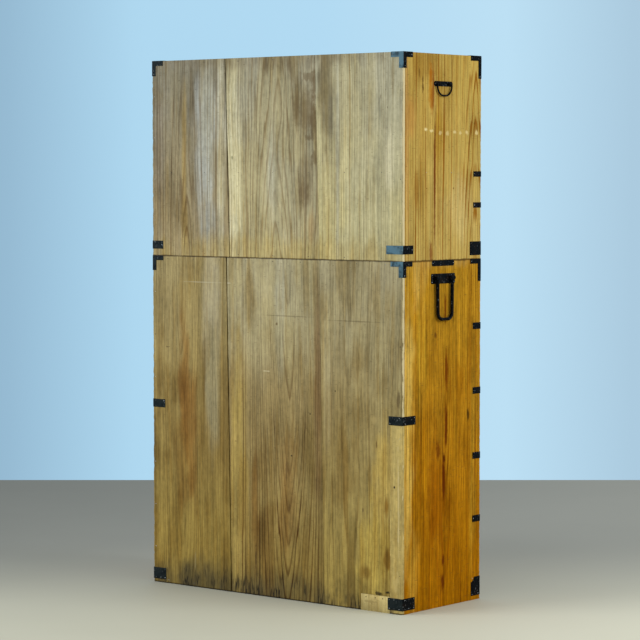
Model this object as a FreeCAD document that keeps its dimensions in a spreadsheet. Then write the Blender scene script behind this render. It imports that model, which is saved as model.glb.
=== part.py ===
import FreeCAD, Part

import os
import re

import Sketcher
from FreeCAD import Placement, Rotation, Vector

# A two-section Japanese clothing chest. +Z is up, the drawers face -Y, the back is at +Y, and the
# origin is the middle of the underside of the lower case. Everything is in millimetres.

SIZES = {
    # The two cases, each a box of boards.
    "case_width": 1060,
    "case_depth": 412,
    "lower_height": 1106,
    "upper_height": 650,
    "side_thick": 20,
    "back_thick": 9,
    "top_thick": 20,
    "bottom_thick": 22,
    "upper_bottom_thick": 18,
    "housing_depth": 6,
    "side_seam_at": -7.5,
    # Seams between the back boards: their places at the top and at the foot, and their widths.
    "lower_wide_seam_top": 200.7,
    "lower_wide_seam_foot": 180.4,
    "lower_wide_seam_gap": 2.4,
    "lower_tight_seam_top": -193,
    "lower_tight_seam_foot": -216,
    "lower_tight_seam_gap": 0.4,
    "upper_wide_seam_top": 204.5,
    "upper_wide_seam_foot": 185.8,
    "upper_wide_seam_gap": 1.4,
    "upper_tight_seam_top": -176,
    "upper_tight_seam_foot": -195,
    "upper_tight_seam_gap": 0.4,
    # Two pieces of new wood let into the lower back, at the -X corner.
    "repair_strip_width": 50,
    "repair_strip_height": 594,
    "repair_patch_length": 115,
    "repair_patch_height": 53,
    # Rails across the front, and the dust boards behind them.
    "rail_thick": 22,
    "rail_depth": 42,
    "dust_thick": 8,
    "rail_centre_1": 890,
    "rail_centre_2": 681,
    "rail_centre_3": 470,
    "rail_centre_4": 265,
    "upper_rail_thick": 18,
    "shelf_centre": 1378.5,
    "upper_rail_centre": 1279,
    "divider_thick": 18,
    # Sliding doors and their tracks.
    "track_depth": 54,
    "track_height": 16,
    "track_setback": 9,
    "head_groove_deep": 10,
    "sill_groove_deep": 3,
    "groove_width": 16,
    "groove_fence": 5,
    "door_thick": 15,
    "door_lap": 30,
    "door_play": 0.5,
    "door_lift": 5,
    "door_stile": 36,
    "door_rail": 40,
    "door_panel_thick": 6,
    "door_pull_radius": 16,
    "door_pull_rim": 1.2,
    "door_pull_cup_radius": 11.5,
    "door_pull_dish_radius": 9.5,
    "door_pull_dish": 3.5,
    # Drawers.
    "drawer_side_gap": 1.5,
    "drawer_top_gap": 2,
    "drawer_foot_gap": 0.5,
    "drawer_back_gap": 10,
    "drawer_front_thick": 18,
    "drawer_side_thick": 10,
    "drawer_bottom_thick": 7,
    "drawer_side_drop": 5,
    "drawer_front_ease": 1,
    # The bail handles of the drawers.
    "bail_place": 270,
    "bail_rise": 14,
    "bail_span": 96,
    "bail_drop": 36,
    "bail_rod": 3,
    "bail_turn": 6,
    "bail_corner": 14,
    "bail_standoff": 8,
    "post_radius": 5.5,
    "post_inset": 12,
    "post_nose": 5,
    "shank_radius": 2.2,
    "shank_reach": 2,
    "pin_clearance": 0.05,
    "pin_reach": 1,
    "bore_margin": 1,
    "escutcheon_radius": 13,
    "escutcheon_thick": 1.2,
    # The D bails high on the sides of the upper case.
    "side_bail_height": 1662,
    "side_bail_at": -1,
    "side_bail_span": 76,
    "side_bail_drop": 37,
    "side_bail_rod": 2.75,
    "side_bail_turn": 5.5,
    "side_bail_corner": 31,
    "side_bail_standoff": 6,
    "side_post_radius": 5,
    "side_post_inset": 11,
    "side_post_nose": 4,
    "side_plate_length": 98,
    "side_plate_height": 16,
    # The long handles of the lower case, through which a carrying pole goes.
    "pole_height": 1050,
    "pole_at": -2,
    "pole_span": 78,
    "pole_drop": 130.4,
    "pole_rod": 5.6,
    "pole_corner": 22,
    "pole_standoff": 8.6,
    "barrel_radius": 6.6,
    "barrel_length": 12,
    "ear_thick": 4,
    "ear_gap": 0.4,
    "hinge_pin_radius": 3,
    "rivet_stand": 0.5,
    "pole_plate_length": 126,
    "pole_plate_height": 32,
    "pole_plate_foot": 1032,
    "guard_length": 117,
    "guard_height": 18,
    # Sheet ironwork. An arm lies along the edge of a case, and a leg runs down its corner.
    "iron_thick": 1.2,
    "rear_cap_arm": 48,
    "rear_cap_leg": 50,
    "rear_cap_width": 16,
    "front_cap_arm": 57,
    "front_cap_leg": 72,
    "front_cap_width": 15.5,
    "upper_strap_foot": 1128.5,
    "upper_strap_height": 27,
    "upper_strap_long_arm": 65,
    "upper_strap_short_arm": 48,
    "upper_strap_side_arm": 52,
    "upper_foot_strap_low": 1118,
    "upper_foot_strap_height": 44,
    "upper_foot_strap_arm": 60,
    "middle_strap_foot": 594.5,
    "middle_strap_height": 27.5,
    "middle_strap_arm": 55,
    "middle_strap_side_arm": 65,
    "foot_strap_low": 12,
    "foot_strap_height": 38,
    "foot_strap_arm": 57,
    "foot_strap_side_arm": 63,
    "foot_corner_low": 14,
    "foot_corner_height": 61,
    "foot_corner_arm": 48,
    "foot_corner_cut": 16,
    "rail_plate_arm": 42,
    "rail_plate_margin": 0.4,
    # Nails.
    "nail_head_radius": 1.7,
    "nail_head_height": 0.6,
    "nail_shank_radius": 0.8,
    "nail_length": 17,
    "nail_inset": 6,
    "nail_margin": 5,
    "strap_second_inset": 12,
    "strap_third_inset": 32,
    "corner_second_inset": 10,
    "nail_row_share": 0.98,
    "shelf_nail_before": 40,
    "shelf_nail_behind": 94,
    "shelf_nail_rise": 4,
}

doc = FreeCAD.newDocument("ClothingChest")
sheet = doc.addObject("Spreadsheet::Sheet", "sizes")
for row, (word, value) in enumerate(SIZES.items(), start=1):
    sheet.set("A%d" % row, word)
    sheet.set("B%d" % row, str(value))
    sheet.setAlias("B%d" % row, word)
doc.recompute()


# ---------------------------------------------------------------------------------------------
# Small tools: each size and place below is a formula in the sheet's words.
# ---------------------------------------------------------------------------------------------


def bound(formula):
    """A formula with each of the sheet's words written as a cell of the sheet."""
    return re.sub(r"[a-z]+(?:_[a-z0-9]+)+", r"sizes.\g<0>", str(formula))


def bind(thing, **formulas):
    """Bind fields of a thing to formulas."""
    for field, formula in formulas.items():
        thing.setExpression(field, bound(formula))
    return thing


def put(thing, x="0", y="0", z="0", turn=None):
    """Set a thing down at a place given by three formulas, turned or not."""
    if turn is not None:
        thing.Placement = Placement(Vector(), turn)
    for letter, formula in (("x", x), ("y", y), ("z", z)):
        thing.setExpression("Placement.Base." + letter, bound(formula))
    return thing


def block(name, x, y, z, length, depth, height):
    """A straight board or flat plate, from its low corner and its three sizes."""
    piece = doc.addObject("Part::Box", name)
    bind(piece, Length=length, Width=depth, Height=height)
    return put(piece, x, y, z)


def rod(name, radius, length, x="0", y="0", z="0", turn=None):
    """A round bar that starts at a place and runs along +Z, or along where the turn points +Z."""
    piece = doc.addObject("Part::Cylinder", name)
    bind(piece, Radius=radius, Height=length)
    return put(piece, x, y, z, turn)


def bend(name, middle_radius, bar_radius, x, y, z, turn):
    """A quarter of a ring of round bar. Unturned, it runs from +X to +Y about +Z."""
    piece = doc.addObject("Part::Torus", name)
    bind(piece, Radius1=middle_radius, Radius2=bar_radius)
    piece.Angle3 = 90
    return put(piece, x, y, z, turn)


def joined(name, pieces):
    """Several touching pieces made one solid."""
    whole = doc.addObject("Part::MultiFuse", name)
    whole.Shapes = pieces
    return whole


def less(name, base, tool):
    """A piece with another one cut out of it."""
    rest = doc.addObject("Part::Cut", name)
    rest.Base = base
    rest.Tool = tool
    return rest


def group(name, pieces):
    """Separate solids that are kept together as one sub-part."""
    whole = doc.addObject("Part::Compound", name)
    whole.Links = pieces
    return whole


def copy_of(name, pattern, x="0", y="0", z="0", turn=None):
    """A copy of a pattern piece, set down at a place of its own."""
    return put(group(name, [pattern]), x, y, z, turn)


ALONG_X = Rotation(Vector(0, 1, 0), 90)
ALONG_Y = Rotation(Vector(1, 0, 0), -90)
TO_FRONT = Rotation(Vector(1, 0, 0), 90)
# A pattern hangs on a face that looks to -Y. These turn it to the faces at -X and at +X.
SIDE_TURNS = {"left": Rotation(Vector(0, 0, 1), -90), "right": Rotation(Vector(0, 0, 1), 90)}
SIGNS = {"left": "-", "right": ""}

INNER_HALF = "(case_width / 2 - side_thick)"
HOUSED_HALF = "(case_width / 2 - side_thick + housing_depth)"
FRONT = "(-case_depth / 2)"
INSIDE_BACK = "(case_depth / 2 - back_thick)"
FULL_HEIGHT = "(lower_height + upper_height)"

nodes = []


def node(piece):
    """Note a piece as one of the sub-parts that are written out."""
    nodes.append(piece)
    return piece


# ---------------------------------------------------------------------------------------------
# Boards of the two cases
# ---------------------------------------------------------------------------------------------


def housed(name, y, z, depth, height):
    """A board between the sides, let into each of them by the depth of its housing."""
    return block(name, "-" + HOUSED_HALF, y, z, "2 * " + HOUSED_HALF, depth, height)


def side_boards(case, foot, height, members):
    """Two boards on each side, edge to edge, with housings for the members between the sides."""
    cutter = group(case + "_housings", members)
    made = []
    for hand, x in (("left", "-case_width / 2"), ("right", "case_width / 2 - side_thick")):
        runs = (("front", FRONT, "side_seam_at"), ("rear", "side_seam_at", INSIDE_BACK))
        for part, start, end in runs:
            name = "%s_%s_%s_board" % (case, hand, part)
            depth = "%s - (%s)" % (end, start)
            plain = block(name + "_blank", x, start, foot, "side_thick", depth, height)
            made.append(less(name, plain, cutter))
    return node(group(case + "_side_boards", made))


def back_board(name, foot, height, low_x, high_x):
    """A vertical back board. Each edge is a pair of formulas: its place at the foot and at the top."""
    board = doc.addObject("Part::Wedge", name)
    bind(board, Ymin=foot, Ymax="%s + %s" % (foot, height))
    for near, far in (("Zmin", "Zmax"), ("Z2min", "Z2max")):
        bind(board, **{near: "-case_depth / 2", far: "-case_depth / 2 + back_thick"})
    bind(board, Xmin=low_x[0], X2min=low_x[1], Xmax=high_x[0], X2max=high_x[1])
    # The wedge's own Y is up, and its own Z runs forwards.
    board.Placement = Placement(Vector(), TO_FRONT)
    return board


def back_boards(case, foot, height):
    """Three boards nailed over the rear edges, seen here from the -X end to the +X end."""
    wide = [case + "_wide_seam_" + end for end in ("foot", "top")]
    tight = [case + "_tight_seam_" + end for end in ("foot", "top")]
    half_wide = case + "_wide_seam_gap / 2"
    half_tight = case + "_tight_seam_gap / 2"
    left_edge = ["-case_width / 2"] * 2
    right_edge = ["case_width / 2"] * 2
    before_tight = [place + " - " + half_tight for place in tight]
    after_tight = [place + " + " + half_tight for place in tight]
    before_wide = [place + " - " + half_wide for place in wide]
    after_wide = [place + " + " + half_wide for place in wide]
    return [
        back_board(case + "_back_left", foot, height, left_edge, before_tight),
        back_board(case + "_back_middle", foot, height, after_tight, before_wide),
        back_board(case + "_back_right", foot, height, after_wide, right_edge),
    ]


def rail_and_dust_board(name, centre, thick, depth="rail_depth"):
    """A front rail and the thin board behind it, their upper faces level."""
    top = "%s + %s / 2" % (centre, thick)
    rail = housed(name, FRONT, "%s - %s / 2" % (centre, thick), depth, thick)
    behind = "%s + %s" % (FRONT, depth)
    reach = "%s - (%s)" % (INSIDE_BACK, behind)
    dust = housed(name + "_dust_board", behind, top + " - dust_thick", reach, "dust_thick")
    return rail, dust


CASE_INSIDE = "%s - %s" % (INSIDE_BACK, FRONT)

lower_top = housed("lower_top", FRONT, "lower_height - top_thick", CASE_INSIDE, "top_thick")
lower_bottom = housed("lower_bottom", FRONT, "0", CASE_INSIDE, "bottom_thick")
RAILS = range(1, 5)
lower_rails = []
for number in RAILS:
    lower_rails += rail_and_dust_board(
        "lower_rail_%d" % number, "rail_centre_%d" % number, "rail_thick"
    )
side_boards("lower", "0", "lower_height", [lower_top, lower_bottom] + lower_rails)
node(group("lower_top_and_bottom", [lower_top, lower_bottom]))
node(group("lower_rails_and_dust_boards", lower_rails))

repair_strip = block(
    "lower_repair_strip",
    "-case_width / 2",
    INSIDE_BACK,
    "0",
    "repair_strip_width",
    "back_thick",
    "repair_strip_height",
)
repair_patch = block(
    "lower_repair_patch",
    "-case_width / 2 + repair_strip_width",
    INSIDE_BACK,
    "0",
    "repair_patch_length",
    "back_thick",
    "repair_patch_height",
)
lower_backs = back_boards("lower", "0", "lower_height")
repairs = group("lower_repairs", [repair_strip, repair_patch])
lower_backs[0] = less("lower_back_left_mended", lower_backs[0], repairs)
node(group("lower_back_boards", lower_backs + [repair_strip, repair_patch]))

upper_top = housed("upper_top", FRONT, FULL_HEIGHT + " - top_thick", CASE_INSIDE, "top_thick")
upper_bottom = housed("upper_bottom", FRONT, "lower_height", CASE_INSIDE, "upper_bottom_thick")
SHELF_TOP = "(shelf_centre + upper_rail_thick / 2)"
SHELF_FOOT = "(shelf_centre - upper_rail_thick / 2)"
HEAD_FOOT = "(%s - top_thick - track_height)" % FULL_HEIGHT
FRONT_GROOVE = FRONT + " + track_setback"
REAR_GROOVE = FRONT_GROOVE + " + groove_width + groove_fence"
BEHIND_TRACK = FRONT + " + track_depth"

shelf_rail = housed(
    "upper_shelf", FRONT, SHELF_FOOT, "track_depth", "upper_rail_thick - sill_groove_deep"
)
shelf_board = housed(
    "upper_shelf_board",
    BEHIND_TRACK,
    SHELF_TOP + " - dust_thick",
    "%s - (%s)" % (INSIDE_BACK, BEHIND_TRACK),
    "dust_thick",
)
drawer_rail, drawer_dust = rail_and_dust_board(
    "upper_rail", "upper_rail_centre", "upper_rail_thick"
)
divider = block(
    "upper_divider",
    "-divider_thick / 2",
    FRONT,
    "upper_rail_centre + upper_rail_thick / 2",
    "divider_thick",
    CASE_INSIDE,
    "shelf_centre - upper_rail_centre - upper_rail_thick",
)
# The board behind the shelf rail is thin, so a filler carries it on the divider.
divider_top = block(
    "upper_divider_top",
    "-divider_thick / 2",
    BEHIND_TRACK,
    SHELF_FOOT,
    "divider_thick",
    "%s - %s - track_depth" % (INSIDE_BACK, FRONT),
    "upper_rail_thick - dust_thick",
)
head_track = block(
    "upper_head_track",
    "-" + INNER_HALF,
    FRONT,
    HEAD_FOOT + " + head_groove_deep",
    "2 * " + INNER_HALF,
    "track_depth",
    "track_height - head_groove_deep",
)


def track_strips(name, z, height):
    """Three strips along a track, which leave between them the grooves of the sliding doors."""
    fence = FRONT_GROOVE + " + groove_width"
    rear = REAR_GROOVE + " + groove_width"
    return [
        block(name + part, "-" + INNER_HALF, y, z, "2 * " + INNER_HALF, depth, height)
        for part, y, depth in (
            ("_front_strip", FRONT, "track_setback"),
            ("_fence", fence, "groove_fence"),
            ("_rear_strip", rear, "%s - (%s)" % (BEHIND_TRACK, rear)),
        )
    ]


sill_strips = track_strips("sill", SHELF_TOP + " - sill_groove_deep", "sill_groove_deep")
head_strips = track_strips("head", HEAD_FOOT, "head_groove_deep")
side_boards(
    "upper",
    "lower_height",
    "upper_height",
    [upper_top, upper_bottom, shelf_rail, shelf_board, drawer_rail, drawer_dust],
)
node(group("upper_top_and_bottom", [upper_top, upper_bottom]))
node(
    group(
        "upper_shelf_rails_and_tracks",
        [
            shelf_rail,
            shelf_board,
            drawer_rail,
            drawer_dust,
            divider,
            divider_top,
            head_track,
        ]
        + sill_strips
        + head_strips,
    )
)
node(group("upper_back_boards", back_boards("upper", "lower_height", "upper_height")))


# ---------------------------------------------------------------------------------------------
# Bail handles, their posts and the long pole handles, each modelled once as a pattern. A pattern
# hangs on a face that looks to -Y, with the pivot line on the X axis at that face.
# ---------------------------------------------------------------------------------------------


def hoop(name, kind, corner):
    """The hanging part of a handle: two legs, two round corners and the bar that the hand holds."""
    half = "%s_span / 2" % kind
    low = "-(%s_drop - %s)" % (kind, corner)
    away = "-%s_standoff" % kind
    thick = "%s_rod" % kind
    bar_z = "-%s_drop" % kind
    bar_length = "%s_span - 2 * %s" % (kind, corner)
    right_turn = Rotation(Vector(1, 0, 0), -90)
    left_turn = Rotation(Vector(1, 0, 0), -90) * Rotation(Vector(0, 0, 1), 90)
    pieces = [
        rod(name + "_bar", thick, bar_length, "-(%s) + %s" % (half, corner), away, bar_z, ALONG_X),
        bend(name + "_right_corner", corner, thick, "%s - %s" % (half, corner), away, low, right_turn),
        bend(name + "_left_corner", corner, thick, "-(%s) + %s" % (half, corner), away, low, left_turn),
    ]
    return pieces, low


def bail_pattern(name, kind):
    """A bail of round bar whose ends turn inwards and run in the posts."""
    half = "%s_span / 2" % kind
    turn = "%s_turn" % kind
    thick = "%s_rod" % kind
    away = "-%s_standoff" % kind
    pieces, low = hoop(name, kind, kind + "_corner")
    leg = "%s_drop - %s_corner - %s" % (kind, kind, turn)
    pin = "%s - %s + %s + pin_reach" % (INSET[kind], turn, POST[kind])
    up_right = Rotation(Vector(1, 0, 0), 90)
    up_left = Rotation(Vector(1, 0, 0), 90) * Rotation(Vector(0, 0, 1), 90)
    for hand, x, bend_x, pin_x, spin in (
        ("right", half, "%s - %s" % (half, turn), "%s - %s - (%s)" % (half, turn, pin), up_right),
        ("left", "-(%s)" % half, "-(%s) + %s" % (half, turn), "-(%s) + %s" % (half, turn), up_left),
    ):
        pieces += [
            rod("%s_%s_leg" % (name, hand), thick, leg, x, away, low),
            bend("%s_%s_turn" % (name, hand), turn, thick, bend_x, away, "-" + turn, spin),
            rod("%s_%s_pin" % (name, hand), thick, pin, pin_x, away, "0", ALONG_X),
        ]
    return joined(name, pieces)


def post_pattern(name, kind, shank):
    """A post with a cross bore for the bail's end, and a shank that goes into the wood."""
    radius = POST[kind]
    length = "%s_standoff + %s - escutcheon_thick" % (kind, NOSE[kind])
    tail_length = shank + " + escutcheon_thick"
    body = rod(name + "_body", radius, length, y="-escutcheon_thick", turn=TO_FRONT)
    tail = rod(name + "_shank", "shank_radius", tail_length, y="-escutcheon_thick", turn=ALONG_Y)
    bore = rod(
        name + "_bore",
        "%s_rod + pin_clearance" % kind,
        "2 * (%s + bore_margin)" % radius,
        "-%s - bore_margin" % radius,
        "-%s_standoff" % kind,
        "0",
        ALONG_X,
    )
    return less(name, joined(name + "_blank", [body, tail]), bore)


POST = {"bail": "post_radius", "side_bail": "side_post_radius"}
INSET = {"bail": "post_inset", "side_bail": "side_post_inset"}
NOSE = {"bail": "post_nose", "side_bail": "side_post_nose"}

drawer_bail = bail_pattern("drawer_bail_pattern", "bail")
drawer_post = post_pattern("drawer_post_pattern", "bail", "drawer_front_thick + shank_reach")
side_bail = bail_pattern("side_bail_pattern", "side_bail")
side_post = post_pattern("side_post_pattern", "side_bail", "side_thick")
escutcheon = less(
    "escutcheon_pattern",
    rod("escutcheon_disc", "escutcheon_radius", "escutcheon_thick", turn=TO_FRONT),
    rod("escutcheon_hole", "shank_radius", "escutcheon_thick", turn=TO_FRONT),
)


def pole_handle_pattern(name):
    """A long U of round bar. Each leg ends in a barrel that turns on a fixed pin."""
    pieces, low = hoop(name, "pole", "pole_corner")
    bores = []
    for hand, sign in SIGNS.items():
        x = sign + "pole_span / 2"
        start = x + " - barrel_length / 2"
        base = "%s_%s" % (name, hand)
        away = "-pole_standoff"
        pieces += [
            rod(base + "_leg", "pole_rod", "pole_drop - pole_corner", x, away, low),
            rod(base + "_barrel", "barrel_radius", "barrel_length", start, away, "0", ALONG_X),
        ]
        bore_radius = "hinge_pin_radius + pin_clearance"
        bores.append(rod(base + "_bore", bore_radius, "barrel_length", start, away, "0", ALONG_X))
    return less(name + "_bored", joined(name, pieces), group(name + "_bores", bores))


def knuckle_pattern(name):
    """Two ears on the plate, and the pin riveted through them."""
    reach = "pole_standoff - iron_thick"
    away = "-pole_standoff"
    tall = "2 * barrel_radius"
    ears = {
        "near": "-barrel_length / 2 - ear_gap - ear_thick",
        "far": "barrel_length / 2 + ear_gap",
    }
    pieces = []
    for part, start in ears.items():
        base = "%s_%s_ear" % (name, part)
        pieces += [
            block(base, start, away, "-barrel_radius", "ear_thick", reach, tall),
            rod(base + "_nose", "barrel_radius", "ear_thick", start, away, "0", ALONG_X),
        ]
    pin_length = "barrel_length + 2 * (ear_gap + ear_thick + rivet_stand)"
    pin_start = "-(%s) / 2" % pin_length
    pieces.append(rod(name + "_pin", "hinge_pin_radius", pin_length, pin_start, away, "0", ALONG_X))
    return joined(name, pieces)


pole_handle = pole_handle_pattern("pole_handle_pattern")
knuckle = knuckle_pattern("knuckle_pattern")


def side_place(hand, along, height):
    """The place and turn of a pattern that hangs on a side of the case."""
    return [SIGNS[hand] + "case_width / 2", along, height, SIDE_TURNS[hand]]


for hand in SIGNS:
    node(copy_of(hand + "_pole_handle", pole_handle, *side_place(hand, "pole_at", "pole_height")))
    node(copy_of(hand + "_side_bail", side_bail, *side_place(hand, "side_bail_at", "side_bail_height")))


# ---------------------------------------------------------------------------------------------
# Nails, all driven from one pattern: a low round head on the face, and a shank in the wood
# ---------------------------------------------------------------------------------------------

nail_head = doc.addObject("Part::Cone", "nail_head")
bind(nail_head, Radius1="nail_head_radius", Radius2="nail_head_radius / 2", Height="nail_head_height")
nail = joined(
    "nail_pattern",
    [nail_head, rod("nail_shank", "nail_shank_radius", "nail_length", z="-nail_length")],
)
nails = {"lower": [], "upper": []}
NAIL_TURNS = {
    "rear": Rotation(Vector(1, 0, 0), -90),
    "front": Rotation(Vector(1, 0, 0), 90),
    "left": Rotation(Vector(0, 1, 0), -90),
    "right": Rotation(Vector(0, 1, 0), 90),
}


def drive_nail(case, face, x, y, z):
    """One nail of a case, driven into the face that it names."""
    name = "%s_nail_%d" % (case, len(nails[case]) + 1)
    nails[case].append(copy_of(name, nail, x, y, z, NAIL_TURNS[face]))


# ---------------------------------------------------------------------------------------------
# Ironwork: caps, straps and plates of sheet iron, each bent round the edge that it guards
# ---------------------------------------------------------------------------------------------

ENDS = {"rear": "", "front": "-"}
ironwork = {"lower": [], "upper": []}


def end_plate(name, hand, end, reach, foot, height):
    """A flat plate on the front or the back of a case, from its corner inwards."""
    x = "-case_width / 2 - iron_thick" if hand == "left" else "case_width / 2 - (%s)" % reach
    y = "case_depth / 2" if end == "rear" else "-case_depth / 2 - iron_thick"
    return block(name, x, y, foot, "%s + iron_thick" % reach, "iron_thick", height)


def side_plate(name, hand, end, reach, foot, height):
    """A flat plate on a side of a case, from its corner inwards."""
    x = "-case_width / 2 - iron_thick" if hand == "left" else "case_width / 2"
    y = "case_depth / 2 - (%s)" % reach if end == "rear" else "-case_depth / 2"
    return block(name, x, y, foot, "iron_thick", reach, height)


def plate_nails(case, hand, end, on_end, insets, heights):
    """Nails through a plate, by their distances from the case's corner and by their heights."""
    for inset in insets:
        for z in heights:
            if on_end:
                x = "%s(case_width / 2 - (%s))" % (SIGNS[hand], inset)
                y = "%s(case_depth / 2 + iron_thick)" % ENDS[end]
                drive_nail(case, end, x, y, z)
            else:
                x = "%s(case_width / 2 + iron_thick)" % SIGNS[hand]
                y = "%s(case_depth / 2 - (%s))" % (ENDS[end], inset)
                drive_nail(case, hand, x, y, z)


def cap(case, hand, end, crown, over_top):
    """A corner cap: arms along the upper edges and a leg down the corner, on two faces or three."""
    arm, leg, width = ["%s_cap_%s" % (end, part) for part in ("arm", "leg", "width")]
    name = "%s_%s_%s_cap" % (case, hand, end)
    rise = " + iron_thick" if over_top else ""
    foot = "%s - %s" % (crown, width)
    low = "%s - %s" % (crown, leg)
    pieces = [
        end_plate(name + "_end_arm", hand, end, arm, foot, width + rise),
        end_plate(name + "_end_leg", hand, end, width, low, leg + rise),
        side_plate(name + "_side_arm", hand, end, arm, foot, width + rise),
        side_plate(name + "_side_leg", hand, end, width, low, leg + rise),
    ]
    if over_top:
        corner_x = "-case_width / 2" if hand == "left" else "case_width / 2 - (%s)"
        corner_y = "case_depth / 2 - (%s)" if end == "rear" else "-case_depth / 2"
        for part, length, depth in (("_top_arm", arm, width), ("_top_leg", width, arm)):
            x = corner_x % length if "%s" in corner_x else corner_x
            y = corner_y % depth if "%s" in corner_y else corner_y
            pieces.append(block(name + part, x, y, crown, length, depth, "iron_thick"))
    ironwork[case].append(joined(name, pieces))
    for on_end in (True, False):
        plate_nails(case, hand, end, on_end, [arm + " - nail_inset"], ["%s - %s / 2" % (crown, width)])
        plate_nails(case, hand, end, on_end, [width + " / 2"], [low + " + nail_inset"])


def strap(case, part, hand, end, end_arm, side_arm, foot, height, insets=(), rows=2):
    """A strap bent round an upright edge of a case."""
    name = "%s_%s_%s_%s" % (case, hand, end, part)
    pieces = [
        end_plate(name + "_end", hand, end, end_arm, foot, height),
        side_plate(name + "_side", hand, end, side_arm, foot, height),
    ]
    whole = joined(name, pieces)
    ironwork[case].append(whole)
    middle = "%s + (%s) / 2" % (foot, height)
    edges = ["%s + nail_margin" % foot, "%s + %s - nail_margin" % (foot, height)]
    heights = edges if rows == 2 else [middle]
    plate_nails(case, hand, end, True, [end_arm + " - nail_inset"] + list(insets), heights)
    plate_nails(case, hand, end, False, [side_arm + " - nail_inset"] + list(insets), heights)
    return whole


def middle_plate(case, part, hand, at, length, foot, height, holes=()):
    """A flat plate in the middle of a side."""
    name = "%s_%s_%s" % (case, hand, part)
    x = "-case_width / 2 - iron_thick" if hand == "left" else "case_width / 2"
    plate = block(name, x, "%s - %s / 2" % (at, length), foot, "iron_thick", length, height)
    if holes:
        start = "-case_width / 2 - iron_thick" if hand == "left" else "case_width / 2"
        cutters = [
            rod("%s_hole_%d" % (name, index), "shank_radius", "iron_thick", start, y, z, ALONG_X)
            for index, (y, z) in enumerate(holes)
        ]
        plate = less(name + "_holed", plate, group(name + "_holes", cutters))
    ironwork[case].append(plate)
    return plate


def middle_plate_nails(case, hand, at, length, heights):
    """Nails near both ends of a plate in the middle of a side."""
    x = "%s(case_width / 2 + iron_thick)" % SIGNS[hand]
    for sign in ("-", ""):
        y = "%s %s (%s / 2 - nail_margin)" % (at, "-" if sign else "+", length)
        for z in heights:
            drive_nail(case, hand, x, y, z)


def rail_plate(case, number, hand, centre, thick):
    """A small plate that ties the end of a front rail to the side."""
    foot = "%s - %s / 2 + rail_plate_margin" % (centre, thick)
    height = "%s - 2 * rail_plate_margin" % thick
    part = "rail_plate_%d" % number
    strap(case, part, hand, "front", "rail_plate_arm", "rail_plate_arm", foot, height, rows=1)


for hand in SIGNS:
    for end in ENDS:
        cap("lower", hand, end, "lower_height", over_top=False)
        cap("upper", hand, end, FULL_HEIGHT, over_top=True)
    back_arm = "upper_strap_long_arm" if hand == "left" else "upper_strap_short_arm"
    strap("upper", "strap", hand, "rear", back_arm, "upper_strap_side_arm", "upper_strap_foot",
          "upper_strap_height", rows=1)
    strap("upper", "foot_strap", hand, "front", "side_thick", "upper_foot_strap_arm",
          "upper_foot_strap_low", "upper_foot_strap_height")
    strap("lower", "middle_strap", hand, "rear", "middle_strap_arm", "middle_strap_side_arm",
          "middle_strap_foot", "middle_strap_height", insets=["strap_second_inset"])
    strap("lower", "foot_strap", hand, "rear", "foot_strap_arm", "foot_strap_side_arm",
          "foot_strap_low", "foot_strap_height", insets=["strap_second_inset", "strap_third_inset"])
    corner = strap("lower", "foot_corner", hand, "front", "side_thick", "foot_corner_arm",
                   "foot_corner_low", "foot_corner_height", insets=["corner_second_inset"])
    ironwork["lower"].remove(corner)
    notch = rod(
        "lower_%s_foot_corner_notch" % hand,
        "foot_corner_cut",
        "iron_thick",
        "-case_width / 2 - iron_thick" if hand == "left" else "case_width / 2",
        "-case_depth / 2 + foot_corner_arm",
        "foot_corner_low + foot_corner_height",
        ALONG_X,
    )
    ironwork["lower"].append(less("lower_%s_foot_corner_notched" % hand, corner, notch))
    for number in RAILS:
        rail_plate("lower", number, hand, "rail_centre_%d" % number, "rail_thick")
    rail_plate("upper", 1, hand, "shelf_centre", "upper_rail_thick")
    rail_plate("upper", 2, hand, "upper_rail_centre", "upper_rail_thick")

    guard_foot = "lower_height - guard_height"
    middle_plate("lower", "edge_guard", hand, "pole_at", "guard_length", guard_foot, "guard_height")
    middle_plate_nails("lower", hand, "pole_at", "guard_length", [guard_foot + " + guard_height / 2"])
    middle_plate("lower", "pole_plate", hand, "pole_at", "pole_plate_length", "pole_plate_foot",
                 "pole_plate_height")
    plate_rows = [
        "pole_plate_foot + nail_margin",
        "pole_plate_foot + pole_plate_height - nail_margin",
    ]
    middle_plate_nails("lower", hand, "pole_at", "pole_plate_length", plate_rows)
    post_places = [
        "side_bail_at %s (side_bail_span / 2 - side_post_inset)" % sign for sign in ("-", "+")
    ]
    plate_foot = "side_bail_height - side_plate_height / 2"
    middle_plate("upper", "bail_plate", hand, "side_bail_at", "side_plate_length", plate_foot,
                 "side_plate_height", [(y, "side_bail_height") for y in post_places])
    middle_plate_nails("upper", hand, "side_bail_at", "side_plate_length", ["side_bail_height"])
    for index, y in enumerate(post_places):
        name = "upper_%s_side_post_%d" % (hand, index)
        ironwork["upper"].append(copy_of(name, side_post, *side_place(hand, y, "side_bail_height")))
    for index, sign in enumerate(("-", "+")):
        name = "lower_%s_knuckle_%d" % (hand, index)
        y = "pole_at %s pole_span / 2" % sign
        ironwork["lower"].append(copy_of(name, knuckle, *side_place(hand, y, "pole_height")))


def nail_row(case, count, z):
    """A level row of nails through the back boards into the edge of a board inside."""
    for index in range(count):
        x = "case_width * nail_row_share * (%d / %d - 0.5)" % (2 * index + 1, 2 * count)
        drive_nail(case, "rear", x, "case_depth / 2", z)


def nail_column(case, hand, foot, height, count):
    """An upright row of nails through the back boards into the rear edge of a side."""
    x = "%s(case_width / 2 - side_thick / 2)" % SIGNS[hand]
    for index in range(count):
        z = "%s + (%s) * %d / %d" % (foot, height, 2 * index + 1, 2 * count)
        drive_nail(case, "rear", x, "case_depth / 2", z)


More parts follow.
